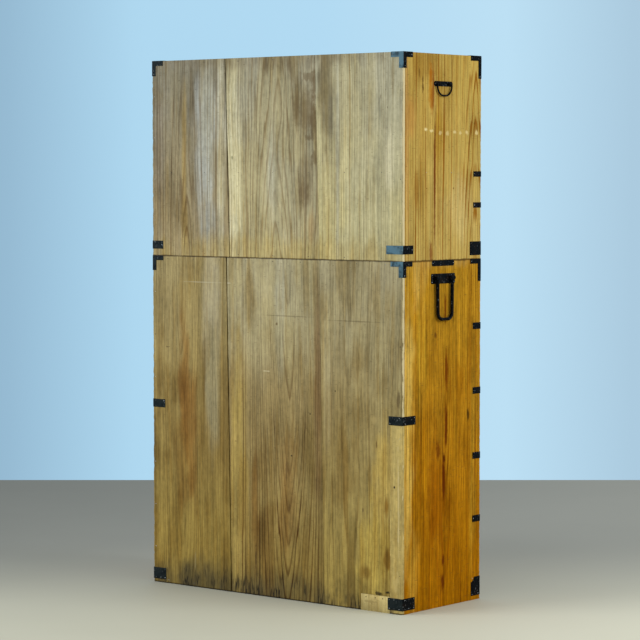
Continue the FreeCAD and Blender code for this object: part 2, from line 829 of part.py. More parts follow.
nail_row("lower", 9, "lower_height - top_thick / 2")
nail_row("lower", 9, "bottom_thick / 2")
nail_row("upper", 7, FULL_HEIGHT + " - top_thick / 2")
nail_row("upper", 7, SHELF_TOP + " - dust_thick / 2")
nail_row("upper", 7, "lower_height + upper_bottom_thick / 2")
for hand in SIGNS:
    nail_column("lower", hand, "foot_strap_low + foot_strap_height",
                "lower_height - rear_cap_leg - foot_strap_low - foot_strap_height", 7)
    nail_column("upper", hand, "upper_strap_foot + upper_strap_height",
                FULL_HEIGHT + " - rear_cap_leg - upper_strap_foot - upper_strap_height", 4)
    for y in ("side_seam_at - shelf_nail_before", "side_seam_at + shelf_nail_behind"):
        x = SIGNS[hand] + "case_width / 2"
        drive_nail("upper", hand, x, y, "shelf_centre + shelf_nail_rise")

for case in ("lower", "upper"):
    node(group(case + "_ironwork", ironwork[case]))
    node(group(case + "_nails", nails[case]))


# ---------------------------------------------------------------------------------------------
# Drawers
# ---------------------------------------------------------------------------------------------


def rectangle(sketch, part, left, right, foot, top):
    """A rectangle in the first quarter of a sketch, its four edges bound to formulas."""
    first = sketch.GeometryCount
    corners = [Vector(1, 1, 0), Vector(9, 1, 0), Vector(9, 9, 0), Vector(1, 9, 0)]
    for start, end in zip(corners, corners[1:] + corners[:1]):
        sketch.addGeometry(Part.LineSegment(start, end), False)
    for edge in range(4):
        joint = Sketcher.Constraint("Coincident", first + edge, 2, first + (edge + 1) % 4, 1)
        sketch.addConstraint(joint)
        direction = "Horizontal" if edge % 2 == 0 else "Vertical"
        sketch.addConstraint(Sketcher.Constraint(direction, first + edge))
    bounds = (("left", "DistanceX", 0, 1, left), ("right", "DistanceX", 1, 9, right),
              ("foot", "DistanceY", 0, 1, foot), ("top", "DistanceY", 2, 9, top))
    for word, kind, edge, guess, formula in bounds:
        index = sketch.addConstraint(Sketcher.Constraint(kind, -1, 1, first + edge, 1, guess))
        sketch.renameConstraint(index, part + "_" + word)
        sketch.setExpression("Constraints.%s_%s" % (part, word), bound(formula))


def upright_slab(name, x, y, z, outlines, thick):
    """A body padded backwards from an upright sketch of one or more rectangles."""
    body = doc.addObject("PartDesign::Body", name)
    sketch = body.newObject("Sketcher::SketchObject", name + "_outline")
    plane = [feature for feature in body.Origin.OriginFeatures if feature.Role == "XZ_Plane"][0]
    sketch.AttachmentSupport = [(plane, "")]
    sketch.MapMode = "FlatFace"
    for part, edges in outlines.items():
        rectangle(sketch, part, *edges)
    pad = body.newObject("PartDesign::Pad", name + "_pad")
    pad.Profile = sketch
    bind(pad, Length=thick)
    pad.Reversed = True
    put(body, x, y, z)
    doc.recompute()
    return body, pad


def ease_front(body, pad):
    """Take the sharpness off the edges of a slab's front face."""
    faces = pad.Shape.Faces
    front = min(range(len(faces)), key=lambda index: faces[index].CenterOfMass.y)
    chamfer = body.newObject("PartDesign::Chamfer", body.Name + "_eased")
    chamfer.Base = (pad, ["Face%d" % (front + 1)])
    bind(chamfer, Size="drawer_front_ease")
    body.Tip = chamfer


def drawer(name, low_x, high_x, low_z, high_z, bail_places):
    """A drawer in its opening: its front, its box, and the posts and bails that it is pulled by."""
    left = "(%s + drawer_side_gap)" % low_x
    right = "(%s - drawer_side_gap)" % high_x
    foot = "(%s + drawer_foot_gap)" % low_z
    top = "(%s - drawer_top_gap)" % high_z
    width = "(%s - %s)" % (right, left)
    height = "(%s - %s)" % (top, foot)
    outline = {"edge": ("0", width, "0", height)}
    body, pad = upright_slab(name + "_front", left, FRONT, foot, outline, "drawer_front_thick")
    ease_front(body, pad)
    node(body)

    behind = "(%s + drawer_front_thick)" % FRONT
    box_depth = "(%s - drawer_back_gap - %s)" % (INSIDE_BACK, behind)
    wall = "drawer_side_thick"
    wall_foot = foot + " + drawer_bottom_thick"
    wall_height = height + " - drawer_bottom_thick - drawer_side_drop"
    right_x = "%s - %s" % (right, wall)
    back_x = "%s + %s" % (left, wall)
    back_y = "%s + %s - %s" % (behind, box_depth, wall)
    back_width = "%s - 2 * %s" % (width, wall)
    walls = [
        block(name + "_bottom", left, behind, foot, width, box_depth, "drawer_bottom_thick"),
        block(name + "_left_wall", left, behind, wall_foot, wall, box_depth, wall_height),
        block(name + "_right_wall", right_x, behind, wall_foot, wall, box_depth, wall_height),
        block(name + "_back_wall", back_x, back_y, wall_foot, back_width, wall, wall_height),
    ]
    node(group(name + "_box", walls))

    fittings = []
    pivot = "(%s + %s) / 2 + bail_rise" % (low_z, high_z)
    for hand, x in bail_places.items():
        label = "%s_%s_bail" % (name, hand) if hand else name + "_bail"
        node(copy_of(label, drawer_bail, x, FRONT, pivot))
        for index, sign in enumerate(("-", "+")):
            place = "%s %s (bail_span / 2 - post_inset)" % (x, sign)
            fittings.append(copy_of("%s_post_%d" % (label, index), drawer_post, place, FRONT, pivot))
            disc_name = "%s_escutcheon_%d" % (label, index)
            fittings.append(copy_of(disc_name, escutcheon, place, FRONT, pivot))
    node(group(name + "_fittings", fittings))


PAIR = {"left": "-bail_place", "right": "bail_place"}
floors = ["rail_centre_%d + rail_thick / 2" % number for number in RAILS] + ["bottom_thick"]
roofs = ["lower_height - top_thick"] + ["rail_centre_%d - rail_thick / 2" % number for number in RAILS]
for number, (low_z, high_z) in enumerate(zip(floors, roofs), start=1):
    drawer("lower_drawer_%d" % number, "-" + INNER_HALF, INNER_HALF, low_z, high_z, PAIR)

drawer(
    "wide_drawer",
    "-" + INNER_HALF,
    INNER_HALF,
    "lower_height + upper_bottom_thick",
    "upper_rail_centre - upper_rail_thick / 2",
    PAIR,
)
SMALL_LOW = "upper_rail_centre + upper_rail_thick / 2"
SMALL_MIDDLE = "(%s + divider_thick / 2) / 2" % INNER_HALF
drawer("left_small_drawer", "-" + INNER_HALF, "-divider_thick / 2", SMALL_LOW, SHELF_FOOT,
       {"": "-" + SMALL_MIDDLE})
drawer("right_small_drawer", "divider_thick / 2", INNER_HALF, SMALL_LOW, SHELF_FOOT,
       {"": SMALL_MIDDLE})


# ---------------------------------------------------------------------------------------------
# Sliding doors: the right one runs in the front grooves, the left one in the rear grooves
# ---------------------------------------------------------------------------------------------

DOOR_WIDTH = "(%s + door_lap / 2 - door_play)" % INNER_HALF
DOOR_FOOT = "(%s - sill_groove_deep + door_play)" % SHELF_TOP
DOOR_TOP = "(%s + head_groove_deep - door_lift)" % HEAD_FOOT
DOOR_HEIGHT = "(%s - %s)" % (DOOR_TOP, DOOR_FOOT)
GROOVE_SLACK = "(groove_width - door_thick) / 2"


def door(name, x, groove, pull_x):
    """A framed door, its panel held in a groove all round, and a dished pull let into one stile."""
    y = "(%s + %s)" % (groove, GROOVE_SLACK)
    outlines = {
        "edge": ("0", DOOR_WIDTH, "0", DOOR_HEIGHT),
        "sight": ("door_stile", DOOR_WIDTH + " - door_stile", "door_rail", DOOR_HEIGHT + " - door_rail"),
    }
    body, _ = upright_slab(name + "_blank", x, y, DOOR_FOOT, outlines, "door_thick")
    panel = block(
        name + "_panel",
        "%s + door_stile - housing_depth" % x,
        "%s + (door_thick - door_panel_thick) / 2" % y,
        "%s + door_rail - housing_depth" % DOOR_FOOT,
        DOOR_WIDTH + " - 2 * (door_stile - housing_depth)",
        "door_panel_thick",
        DOOR_HEIGHT + " - 2 * (door_rail - housing_depth)",
    )
    pull_z = "%s + %s / 2" % (DOOR_FOOT, DOOR_HEIGHT)
    cup_depth = "door_pull_dish + door_pull_rim"
    cup = rod(name + "_cup", "door_pull_cup_radius", cup_depth, pull_x, y, pull_z, ALONG_Y)
    flange = rod(name + "_flange", "door_pull_radius", "door_pull_rim", pull_x, y, pull_z, TO_FRONT)
    dish = rod(name + "_dish", "door_pull_dish_radius", "door_pull_dish + door_pull_rim", pull_x,
               "%s - door_pull_rim" % y, pull_z, ALONG_Y)
    cutters = group(name + "_recesses", [panel, cup])
    node(less(name + "_frame", body, cutters))
    node(panel)
    node(less(name + "_pull", joined(name + "_pull_blank", [cup, flange]), dish))


PULL_INSET = "%s - door_stile / 2 - door_play" % INNER_HALF
door("left_door", "(-%s + door_play)" % INNER_HALF, REAR_GROOVE, "-(%s)" % PULL_INSET)
door("right_door", "(-door_lap / 2)", FRONT_GROOVE, PULL_INSET)


# ---------------------------------------------------------------------------------------------
# Check every object, then write one file for each sub-part
# ---------------------------------------------------------------------------------------------

doc.recompute()
faults = [thing.Name for thing in doc.Objects if {"Invalid", "Error"} & set(thing.State)]
for piece in nodes:
    if piece.Shape.isNull() or not piece.Shape.isValid() or not piece.Shape.Solids:
        faults.append(piece.Label)
if faults:
    raise SystemExit("these failed: " + ", ".join(faults))

os.makedirs("parts", exist_ok=True)
for piece in nodes:
    piece.Shape.exportStep(os.path.join("parts", piece.Label + ".step"))
print(len(nodes), "sub-parts written")
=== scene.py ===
"""The looks of a two-section clothing chest: old softwood boards, blackened ironwork, drawers,
sliding doors and handles, each riding on the body of the fixed frame that carries it.

Everything is in metres. The drawers face -Y, the back is at +Y, +Z is up, and the origin is the
middle of the underside. Left and right are those of someone who faces the drawers.
"""

import contextlib
import dataclasses
import logging
import math
from dataclasses import dataclass, field
from enum import Enum
from typing import Callable, Dict, Iterator, List, Optional, Sequence, Tuple, Union

import bmesh
import bpy
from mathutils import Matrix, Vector


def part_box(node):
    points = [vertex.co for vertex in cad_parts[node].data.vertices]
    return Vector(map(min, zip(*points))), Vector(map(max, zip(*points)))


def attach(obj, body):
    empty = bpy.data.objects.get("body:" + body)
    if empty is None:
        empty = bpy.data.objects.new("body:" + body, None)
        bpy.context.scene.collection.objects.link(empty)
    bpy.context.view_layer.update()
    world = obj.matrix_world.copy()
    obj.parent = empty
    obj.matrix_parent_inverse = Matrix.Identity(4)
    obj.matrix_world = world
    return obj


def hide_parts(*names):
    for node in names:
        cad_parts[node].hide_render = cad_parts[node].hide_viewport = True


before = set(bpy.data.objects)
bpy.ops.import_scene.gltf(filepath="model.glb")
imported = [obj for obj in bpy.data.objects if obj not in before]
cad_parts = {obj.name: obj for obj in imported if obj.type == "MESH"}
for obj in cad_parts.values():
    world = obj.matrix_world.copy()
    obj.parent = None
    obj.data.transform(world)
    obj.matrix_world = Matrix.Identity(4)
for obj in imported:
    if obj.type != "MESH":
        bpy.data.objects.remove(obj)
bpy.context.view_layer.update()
log = logging.getLogger("chest")

Tone = Tuple[int, int, int]
Colour = Tuple[float, float, float]
Point = Tuple[float, float, float]
Span = Tuple[float, float]
Thing = bpy.types.Object
Material = bpy.types.Material
Socket = bpy.types.NodeSocket
Term = Union[float, Tuple[float, ...], Socket]
Key = Union[int, str]
Test = Callable[[Vector], bool]

TOUCH = 0.0001
WELD = 0.00001
NAIL_RADIUS = 0.0017
NAIL_HEIGHT = 0.0006
WEAR_REACH = 0.005
WEAR_BAND = WEAR_REACH + 0.0005
ROW = 0.005


class Named(Enum):
    """Options whose names are parts of the names of pieces."""

    @property
    def word(self) -> str:
        """The option's name in lower case."""
        return self.name.lower()


class Hand(Named):
    """The two ends of the chest, with the sign of X there."""

    LEFT = -1
    RIGHT = 1


class End(Named):
    """The front and the back of the chest, with the sign of Y there."""

    FRONT = -1
    REAR = 1


class Section(Named):
    """The two cases, each with the name of the body that carries it."""

    LOWER = "lower_case"
    UPPER = "upper_case"


class Slot(Enum):
    """The record's material slots."""

    BACK = "back_boards"
    SIDE = "side_boards"
    CASE = "case_boards"
    FRONT = "drawer_fronts"
    BOX = "drawer_boxes"
    DOOR = "door_wood"
    IRON = "black_iron"


class Grain(Enum):
    """How a board lies: the axis across its face, the axis through it, and the axis along it."""

    BACK = (0, 1, 2)
    SIDE = (1, 0, 2)
    FRONT = (2, 1, 0)
    SHELF = (1, 2, 0)
    BOX = (0, 2, 1)


class Pattern(Enum):
    """The noises in wood: blotches in a metre across, through and along, a shift, and layers."""

    DRIFT = ((5.0, 5.0, 1.6), 0, 1.0)
    RIPPLE = ((32.0, 32.0, 8.0), 3, 1.0)
    CLOUD = ((15.0, 15.0, 5.5), 13, 4.0)
    GRIME = ((90.0, 90.0, 60.0), 15, 3.0)
    SILVER = ((8.0, 8.0, 3.6), 19, 4.0)
    STREAK = ((52.0, 30.0, 1.9), 7, 2.0)
    FINE = ((150.0, 60.0, 4.0), 9, 2.0)
    FIBRE = ((620.0, 200.0, 26.0), 11, 1.0)
    RING = ((60.0, 1.0, 0.8), 17, 1.0)
    NICK = ((70.0, 70.0, 400.0), 31, 1.0)
    DAMP = ((26.0, 10.0, 12.0), 21, 2.0)
    TICK = ((210.0, 20.0, 24.0), 23, 2.0)
    WEAR = ((110.0, 110.0, 26.0), 29, 3.0)


@dataclass(frozen=True)
class Chest:
    """The sizes that several sub-assemblies share."""

    width: float = 1.060
    depth: float = 0.412
    lower_height: float = 1.106
    full_height: float = 1.756
    side_thick: float = 0.020
    back_thick: float = 0.009
    iron: float = 0.0012

    @property
    def half(self) -> float:
        """Half the width."""
        return self.width / 2

    @property
    def face(self) -> float:
        """How far the front and the back are from the middle."""
        return self.depth / 2


CHEST = Chest()


def tone(red: int, green: int, blue: int) -> Colour:
    """A colour as an eye names it on a screen, turned into the linear one of a shader.

    Args:
        red: Share of red, 0 to 255.
        green: Share of green, 0 to 255.
        blue: Share of blue, 0 to 255.

    Returns:
        The three linear shares, 0 to 1.
    """
    shares = (part / 255 for part in (red, green, blue))
    linear = [part / 12.92 if part < 0.04045 else ((part + 0.055) / 1.055) ** 2.4
              for part in shares]
    return (linear[0], linear[1], linear[2])


def at(first: float, second: float, reach: float = TOUCH) -> bool:
    """Whether two places are one, within a reach."""
    return abs(first - second) < reach


# Finishes


class Tree:
    """A node tree, written as sums of terms that are numbers, tuples or sockets."""

    def __init__(self, tree: bpy.types.NodeTree) -> None:
        """Take an empty tree in hand."""
        self.nodes, self.links = tree.nodes, tree.links
        self.nodes.clear()

    def feed(self, socket: Socket, term: Term) -> None:
        """Set a socket to a value, or link it.

        Args:
            socket: An input socket.
            term: A number, a tuple of numbers, or another node's output.
        """
        if isinstance(term, bpy.types.NodeSocket):
            self.links.new(term, socket)
        elif isinstance(term, (tuple, list)) and socket.type == "RGBA":
            socket.default_value = (*term[:3], 1.0)
        else:
            socket.default_value = term

    def add(self, kind: str, output: Key, inputs: Dict[Key, Term], **settings: object) -> Socket:
        """Add a shader node, set it and feed it.

        Args:
            kind: The node's type.
            output: Which of its outputs is wanted.
            inputs: What goes into its inputs.
            settings: Its settings.

        Returns:
            The output.
        """
        node = self.nodes.new("ShaderNode" + kind)
        for word, value in settings.items():
            setattr(node, word, value)
        for key, term in inputs.items():
            self.feed(node.inputs[key], term)
        return node.outputs[output]

    def place(self) -> Socket:
        """The point's own place, in metres."""
        return self.add("TexCoord", "Object", {})

    def split(self, vector: Term) -> List[Socket]:
        """The three parts of a vector."""
        return list(self.add("SeparateXYZ", 0, {0: vector}).node.outputs)

    def join(self, first: Term, second: Term, third: Term) -> Socket:
        """A vector made of three terms."""
        return self.add("CombineXYZ", 0, {0: first, 1: second, 2: third})

    def calc(self, operation: str, *terms: Term) -> Socket:
        """The result of one step of arithmetic."""
        return self.add("Math", 0, dict(enumerate(terms)), operation=operation)

    def times(self, first: Term, second: Term) -> Socket:
        """The product of two terms."""
        return self.calc("MULTIPLY", first, second)

    def fused(self, first: Term, second: Term, third: Term) -> Socket:
        """The product of two terms, and a third added to it."""
        return self.calc("MULTIPLY_ADD", first, second, third)

    def less(self, first: Term, second: Term) -> Socket:
        """The first term less the second."""
        return self.calc("SUBTRACT", first, second)

    def vector(self, operation: str, *terms: Term, output: Key = "Vector") -> Socket:
        """The result of one step of vector arithmetic."""
        return self.add("VectorMath", output, dict(enumerate(terms)), operation=operation)

    def noise(self, vector: Term, stretch: Point, seed: float, detail: float = 2.0) -> Socket:
        """Soft noise round 0.5: how many blotches a metre holds, its shift, its finer layers."""
        moved = self.vector("MULTIPLY_ADD", vector, stretch, (seed, seed * 1.7, seed * 0.6))
        return self.add("TexNoise", "Fac", {"Vector": moved, "Scale": 1.0, "Detail": detail})

    def spread(
        self, term: Term, low: float, high: float, start: float = 0.0, end: float = 1.0
    ) -> Socket:
        """A term from low to high turned smoothly into start to end, flat beyond both."""
        ends = {"Value": term, "From Min": low, "From Max": high, "To Min": start, "To Max": end}
        return self.add("MapRange", "Result", ends, interpolation_type="SMOOTHSTEP")

    def mix(self, share: Term, first: Term, second: Term, blend: str = "MIX") -> Socket:
        """A share of the second colour on the first."""
        settings = {"data_type": "RGBA", "blend_type": blend, "clamp_factor": True}
        return self.add("Mix", 2, {0: share, 6: first, 7: second}, **settings)

    def tint(self, colour: Term, cast: Term) -> Socket:
        """A colour seen through a coloured glass."""
        return self.mix(1.0, colour, cast, "MULTIPLY")

    def relief(self, height: Term, depth: float) -> Socket:
        """The normal of a surface that is raised by shares of a depth in metres."""
        return self.add("Bump", "Normal", {"Distance": depth, "Height": height})


class Graph(Tree):
    """A material's node tree, which ends in one principled shader."""

    def __init__(self, name: str) -> None:
        """Start a material.

        Args:
            name: The material's name.
        """
        self.material = bpy.data.materials.new(name)
        self.material.use_nodes = True
        super().__init__(self.material.node_tree)
        self.shader = self.nodes.new("ShaderNodeBsdfPrincipled")
        output = self.nodes.new("ShaderNodeOutputMaterial")
        self.links.new(self.shader.outputs["BSDF"], output.inputs["Surface"])

    def surface(self, **values: Term) -> Material:
        """Feed the shader.

        Args:
            values: What goes into each of its sockets, a name's spaces written as underscores.

        Returns:
            The finished material.
        """
        sockets = {socket.name.lower().replace(" ", "_"): socket for socket in self.shader.inputs}
        for word, value in values.items():
            self.feed(sockets[word], value)
        return self.material


@dataclass(frozen=True)
class Mark:
    """A band, stain, knot, rubbed place, scratch, painted shadow or painted sheen on a board.

    It is an oval on the board's face. Its place and its half sizes are in metres, across the grain
    and along it.
    """

    across: float
    along: float
    wide: float
    tall: float
    tone: Tone
    share: float = 0.7
    ragged: float = 0.35


class Sawn:
    """A board's node tree, with the places and the noises that its layers share."""

    def __init__(self, name: str, grain: Grain, seed: float, warp: float) -> None:
        """Lay the board out.

        Args:
            name: The material's name.
            grain: How the board lies.
            seed: Shifts every noise.
            warp: How far the grain wanders sideways, in metres.
        """
        graph = self.graph = Graph(name)
        self.seed = seed
        axes = graph.split(graph.place())
        self.across, self.through, self.along = (axes[index] for index in grain.value)
        self.plain = graph.join(self.across, self.through, self.along)
        self.drift = self.swing(Pattern.DRIFT, self.plain)
        self.ripple = self.swing(Pattern.RIPPLE, self.plain)
        self.cloud = self.swing(Pattern.CLOUD, self.plain)
        self.grime = self.swing(Pattern.GRIME, self.plain)
        wander = graph.fused(self.ripple, warp * 0.3, graph.times(self.drift, warp * 2))
        self.moved = graph.calc("ADD", self.across, wander)
        self.grained = graph.join(self.moved, self.through, self.along)
        self.streak = self.swing(Pattern.STREAK, self.grained)
        self.fine = self.swing(Pattern.FINE, self.grained)
        self.fibre = self.swing(Pattern.FIBRE, self.grained)

    def noise(self, pattern: Pattern, place: Socket) -> Socket:
        """One of the noises, around 0.5."""
        stretch, shift, detail = pattern.value
        return self.graph.noise(place, stretch, self.seed + shift, detail)

    def swing(self, pattern: Pattern, place: Socket) -> Socket:
        """One of the noises, around nothing."""
        return self.graph.less(self.noise(pattern, place), 0.5)


@dataclass(frozen=True)
class WoodFinish:
    """Old softwood. Growth rings lie round a pith, so face, edge and end grain agree.

    head and foot are the ground tones at the two ends of the board's reach along the grain.
    pith is the heart's place, across the grain and through the board, at the foot of the reach;
    lean is how much it comes nearer through the board for each metre along it. taper is how much
    the trunk narrows for each metre, which draws nested flames about the pith out to flare.
    weather is the share of silvery wood low down and at the head, fade the share of the growth
    lines' strength that is left at the head. bands lie under the grain and marks over it. worn
    holds a bare arris's place across and through the board, its reach, and its bare share.
    """

    name: str
    grain: Grain
    head: Tone
    foot: Tone
    reach: Span
    pith: Span
    lean: float = 0.0
    taper: float = 0.0
    flare: float = 0.14
    sway: float = 0.05
    ring: float = 0.0115
    line: float = 0.85
    fade: float = 1.0
    streak: float = 1.0
    mottle: float = 1.0
    warp: float = 0.010
    late: Colour = (0.46, 0.34, 0.22)
    weather: Span = (0.0, 0.0)
    nicks: float = 0.35
    bands: Tuple[Mark, ...] = ()
    marks: Tuple[Mark, ...] = ()
    damp: float = 0.0
    seed: float = 0.0
    rough: float = 0.68
    shine: float = 0.10
    depth: float = 0.0006
    worn: Tuple[float, ...] = ()

    def build(self) -> Material:
        """Build the material.

        Returns:
            The wood's material.
        """
        board = Sawn(self.name, self.grain, self.seed, self.warp)
        graph = board.graph
        late = self._rings(board)
        up = graph.spread(board.along, *self.reach)
        colour = graph.mix(up, tone(*self.foot), tone(*self.head))
        colour = self._marked(board, colour, self.bands, board.cloud)
        colour = self._toned(board, colour)
        strength = graph.spread(board.along, *self.reach, self.line, self.line * self.fade)
        colour = graph.mix(graph.times(late, strength), colour, graph.tint(colour, self.late))
        nicks = graph.spread(board.noise(Pattern.NICK, board.plain), 0.66, 0.74, 0.0, self.nicks)
        colour = graph.mix(nicks, colour, tone(74, 60, 38))
        colour = self._marked(board, colour, self.marks, board.grime)
        if self.damp:
            colour = self._damped(board, colour)
        if self.worn:
            colour = self._worn(board, colour)
        height = graph.fused(board.fine, 0.6, graph.times(late, 0.3))
        return graph.surface(
            normal=graph.relief(graph.fused(board.fibre, 0.5, height), self.depth),
            base_color=colour,
            roughness=graph.fused(late, -0.08, graph.fused(board.streak, 0.3, self.rough)),
            specular_ior_level=self.shine,
        )

    def _rings(self, board: Sawn) -> Socket:
        """Grow the rings, each of which darkens slowly and ends sharply.

        Args:
            board: The board.

        Returns:
            How much late wood shows at a point, 0 to 1.
        """
        graph = board.graph
        up = graph.less(board.along, self.reach[0])
        heart = graph.fused(board.drift, self.sway, graph.fused(up, self.lean, self.pith[1]))
        aside = graph.less(board.moved, self.pith[0])
        offset = graph.join(aside, graph.less(board.through, heart), 0.0)
        radius = graph.vector("LENGTH", offset, output="Value")
        uneven = board.noise(Pattern.RING, graph.join(radius, 0.0, board.along))
        count = graph.fused(uneven, 2.2, graph.calc("DIVIDE", radius, self.ring))
        if self.taper:
            narrow = graph.spread(radius, 0.0, self.flare, self.taper / self.ring, 0.0)
            count = graph.fused(up, narrow, count)
        node = graph.nodes.new("ShaderNodeValToRGB")
        node.color_ramp.interpolation = "EASE"
        stops = node.color_ramp.elements
        stops[0].position, stops[0].color = 0.46, (0.0, 0.0, 0.0, 1.0)
        stops[1].position, stops[1].color = 0.98, (0.0, 0.0, 0.0, 1.0)
        stops.new(0.84).color = (1.0, 1.0, 1.0, 1.0)
        graph.feed(node.inputs["Fac"], graph.calc("FRACT", count))
        number = graph.calc("ADD", graph.calc("FLOOR", count), self.seed)
        chance = graph.add("TexWhiteNoise", "Value", {"W": number}, noise_dimensions="1D")
        return graph.times(node.outputs["Color"], graph.fused(chance, 0.75, 0.25))

    @staticmethod
    def _marked(board: Sawn, colour: Socket, marks: Sequence[Mark], hard: Socket) -> Socket:
        """Lay marks on a colour, each with a ragged edge.

        Args:
            board: The board.
            colour: The colour below.
            marks: The marks, the lowest first.
            hard: Noise that frays the marks' edges, beside the board's soft ripple.

        Returns:
            The colour with its marks.
        """
        if not marks:
            return colour
        graph = board.graph
        face = graph.join(board.moved, board.along, 0.0)
        frayed = graph.fused(board.ripple, 1.5, graph.times(hard, 2.2))
        for mark in marks:
            away = graph.vector("SUBTRACT", face, (mark.across, mark.along, 0.0))
            scaled = graph.vector("MULTIPLY", away, (1 / mark.wide, 1 / mark.tall, 0.0))
            length = graph.vector("LENGTH", scaled, output="Value")
            reach = graph.fused(frayed, mark.ragged, length)
            shown = graph.spread(reach, 0.30, 1.0, mark.share, 0.0)
            colour = graph.mix(shown, colour, tone(*mark.tone))
        return colour

    def _toned(self, board: Sawn, colour: Socket) -> Socket:
        """Toast the wood in streaks, silver it where it weathers, and shade it unevenly.

        Args:
            board: The board.
            colour: The colour below.

        Returns:
            The colour of the early wood.
        """
        graph = board.graph
        warmth = graph.calc("ADD", board.streak, graph.times(board.cloud, -0.8))
        toasted = graph.tint(colour, (0.80, 0.70, 0.52))
        colour = graph.mix(graph.spread(warmth, -0.02, 0.20, 0.0, 0.6), colour, toasted)
        middle = self.reach[0] + 0.35 * (self.reach[1] - self.reach[0])
        grey = graph.spread(board.along, middle, self.reach[1], *self.weather)
        silver = graph.spread(board.noise(Pattern.SILVER, board.plain), 0.42, 0.60)
        silvered = graph.tint(colour, (0.98, 1.03, 1.22))
        colour = graph.mix(graph.times(silver, grey), colour, silvered)
        shade: Term = 1.0
        for part, weight in (
            (board.cloud, 0.80 * self.mottle), (board.grime, 0.50 * self.mottle),
            (board.streak, 0.35 * self.streak), (board.fine, 0.95 * self.streak),
            (board.fibre, 0.70 * self.streak),
        ):
            shade = graph.fused(part, weight, shade)
        return graph.tint(colour, graph.join(shade, shade, shade))

    def _damped(self, board: Sawn, colour: Socket) -> Socket:
        """Draw the dark ticks and the stain that rise from the floor to a height.

        The lowest few millimetres are painted near black: a painted shadow where the board meets
        the floor.

        Args:
            board: The board.
            colour: The colour below.

        Returns:
            The colour with its damp foot and its painted floor shadow.
        """
        graph, along, damp = board.graph, board.along, self.damp
        patch = board.noise(Pattern.DAMP, board.grained)
        rise = graph.spread(along, damp * 0.1, damp, 1.0, 0.0)
        soaked = graph.times(rise, graph.spread(patch, 0.35, 0.60))
        colour = graph.mix(graph.times(soaked, 0.55), colour, tone(78, 70, 50))
        ticks = graph.spread(board.noise(Pattern.TICK, board.grained), 0.50, 0.60)
        ticks = graph.times(ticks, graph.spread(patch, 0.44, 0.56, 0.25, 1.0))
        ticks = graph.times(graph.spread(along, damp * 0.2, damp * 1.2, 1.0, 0.0), ticks)
        colour = graph.mix(graph.times(ticks, 0.90), colour, tone(30, 27, 20))
        # Painted shadow: near black in the lowest 1 to 6 mm, where the board meets the floor.
        return graph.mix(graph.spread(along, 0.001, 0.006, 0.9, 0.0), colour, tone(20, 18, 14))

    def _worn(self, board: Sawn, colour: Socket) -> Socket:
        """Bare the pale wood along the arris at an outer corner.

        Args:
            board: The board.
            colour: The colour below.

        Returns:
            The colour with its worn arris.
        """
        graph = board.graph
        place_across, place_through, reach, share = self.worn
        aside = graph.calc("ABSOLUTE", graph.less(board.across, place_across))
        inward = graph.calc("ABSOLUTE", graph.less(board.through, place_through))
        near = graph.calc("ADD", graph.times(aside, 1.6), graph.times(inward, 0.25))
        lumps = graph.less(board.noise(Pattern.WEAR, board.plain), 1.0 - share)
        edge = graph.fused(lumps, reach * 3.0, reach * 0.5)
        bare = graph.spread(graph.less(edge, near), 0.0, reach * 0.4)
        return graph.mix(graph.times(bare, 0.85), colour, tone(220, 206, 160))


@dataclass(frozen=True)
class IronFinish:
    """Sheet and bar iron, blackened in the fire and oiled, with a little rust and rubbed places.

    rear is where its rearmost faces are along Y, which hold dust and a painted blue-grey sheen. A
    painted reflection of the blue sky lies on those of them that are past the side span along X
    and above the foot span along Z.
    """

    name: str = "black_iron"
    black: Colour = (0.0030, 0.0036, 0.0045)
    rust: Colour = (0.030, 0.018, 0.011)
    bloom: Colour = tone(96, 134, 154)
    dust: Colour = tone(34, 42, 44)
    bright: Colour = tone(150, 158, 162)
    rear: Span = (0.2058, 0.2066)
    bloom_side: Span = (-0.475, -0.440)
    bloom_foot: Span = (1.02, 1.09)
    rough: float = 0.32

    def build(self) -> Material:
        """Build the material.

        Returns:
            The iron's material.
        """
        graph = Graph(self.name)
        place = graph.place()
        x, y, z = graph.split(place)
        blotch = graph.noise(place, (48.0, 48.0, 48.0), 2.0, 4.0)
        speck = graph.noise(place, (420.0, 420.0, 420.0), 5.0, 2.0)
        dent = graph.noise(place, (130.0, 130.0, 130.0), 9.0, 1.0)
        scuff = graph.noise(place, (380.0, 380.0, 70.0), 13.0, 2.0)
        rusty = graph.times(graph.spread(blotch, 0.52, 0.68), graph.spread(speck, 0.42, 0.62))
        colour = graph.mix(graph.times(rusty, 0.75), self.black, self.rust)
        rear = graph.spread(y, *self.rear)
        # Dust with a painted blue-grey sheen: the rearmost faces are greyed in blotches.
        dust_and_sheen_share = graph.times(rear, graph.spread(blotch, 0.25, 0.60, 0.3, 0.8))
        colour = graph.mix(dust_and_sheen_share, colour, self.dust)
        # Painted reflection: the blue sky painted on the rearmost faces near the -X end and high
        # up.
        high = graph.times(
            graph.spread(x, *self.bloom_side, 1.0, 0.0), graph.spread(z, *self.bloom_foot)
        )
        painted_reflection_share = graph.times(graph.times(high, rear), graph.spread(blotch, 0.30, 0.58, 0.15, 0.75))
        colour = graph.mix(painted_reflection_share, colour, self.bloom)
        bare = graph.times(graph.spread(scuff, 0.61, 0.68), graph.spread(dent, 0.52, 0.62))
        rough = graph.fused(rusty, 0.25, graph.fused(blotch, 0.30, self.rough - 0.14))
        return graph.surface(
            normal=graph.relief(graph.fused(speck, 0.25, dent), 0.0010),
            base_color=graph.mix(graph.times(bare, 0.55), colour, self.bright), roughness=rough,
            specular_ior_level=0.03, specular_tint=(0.72, 0.92, 1.0),
        )


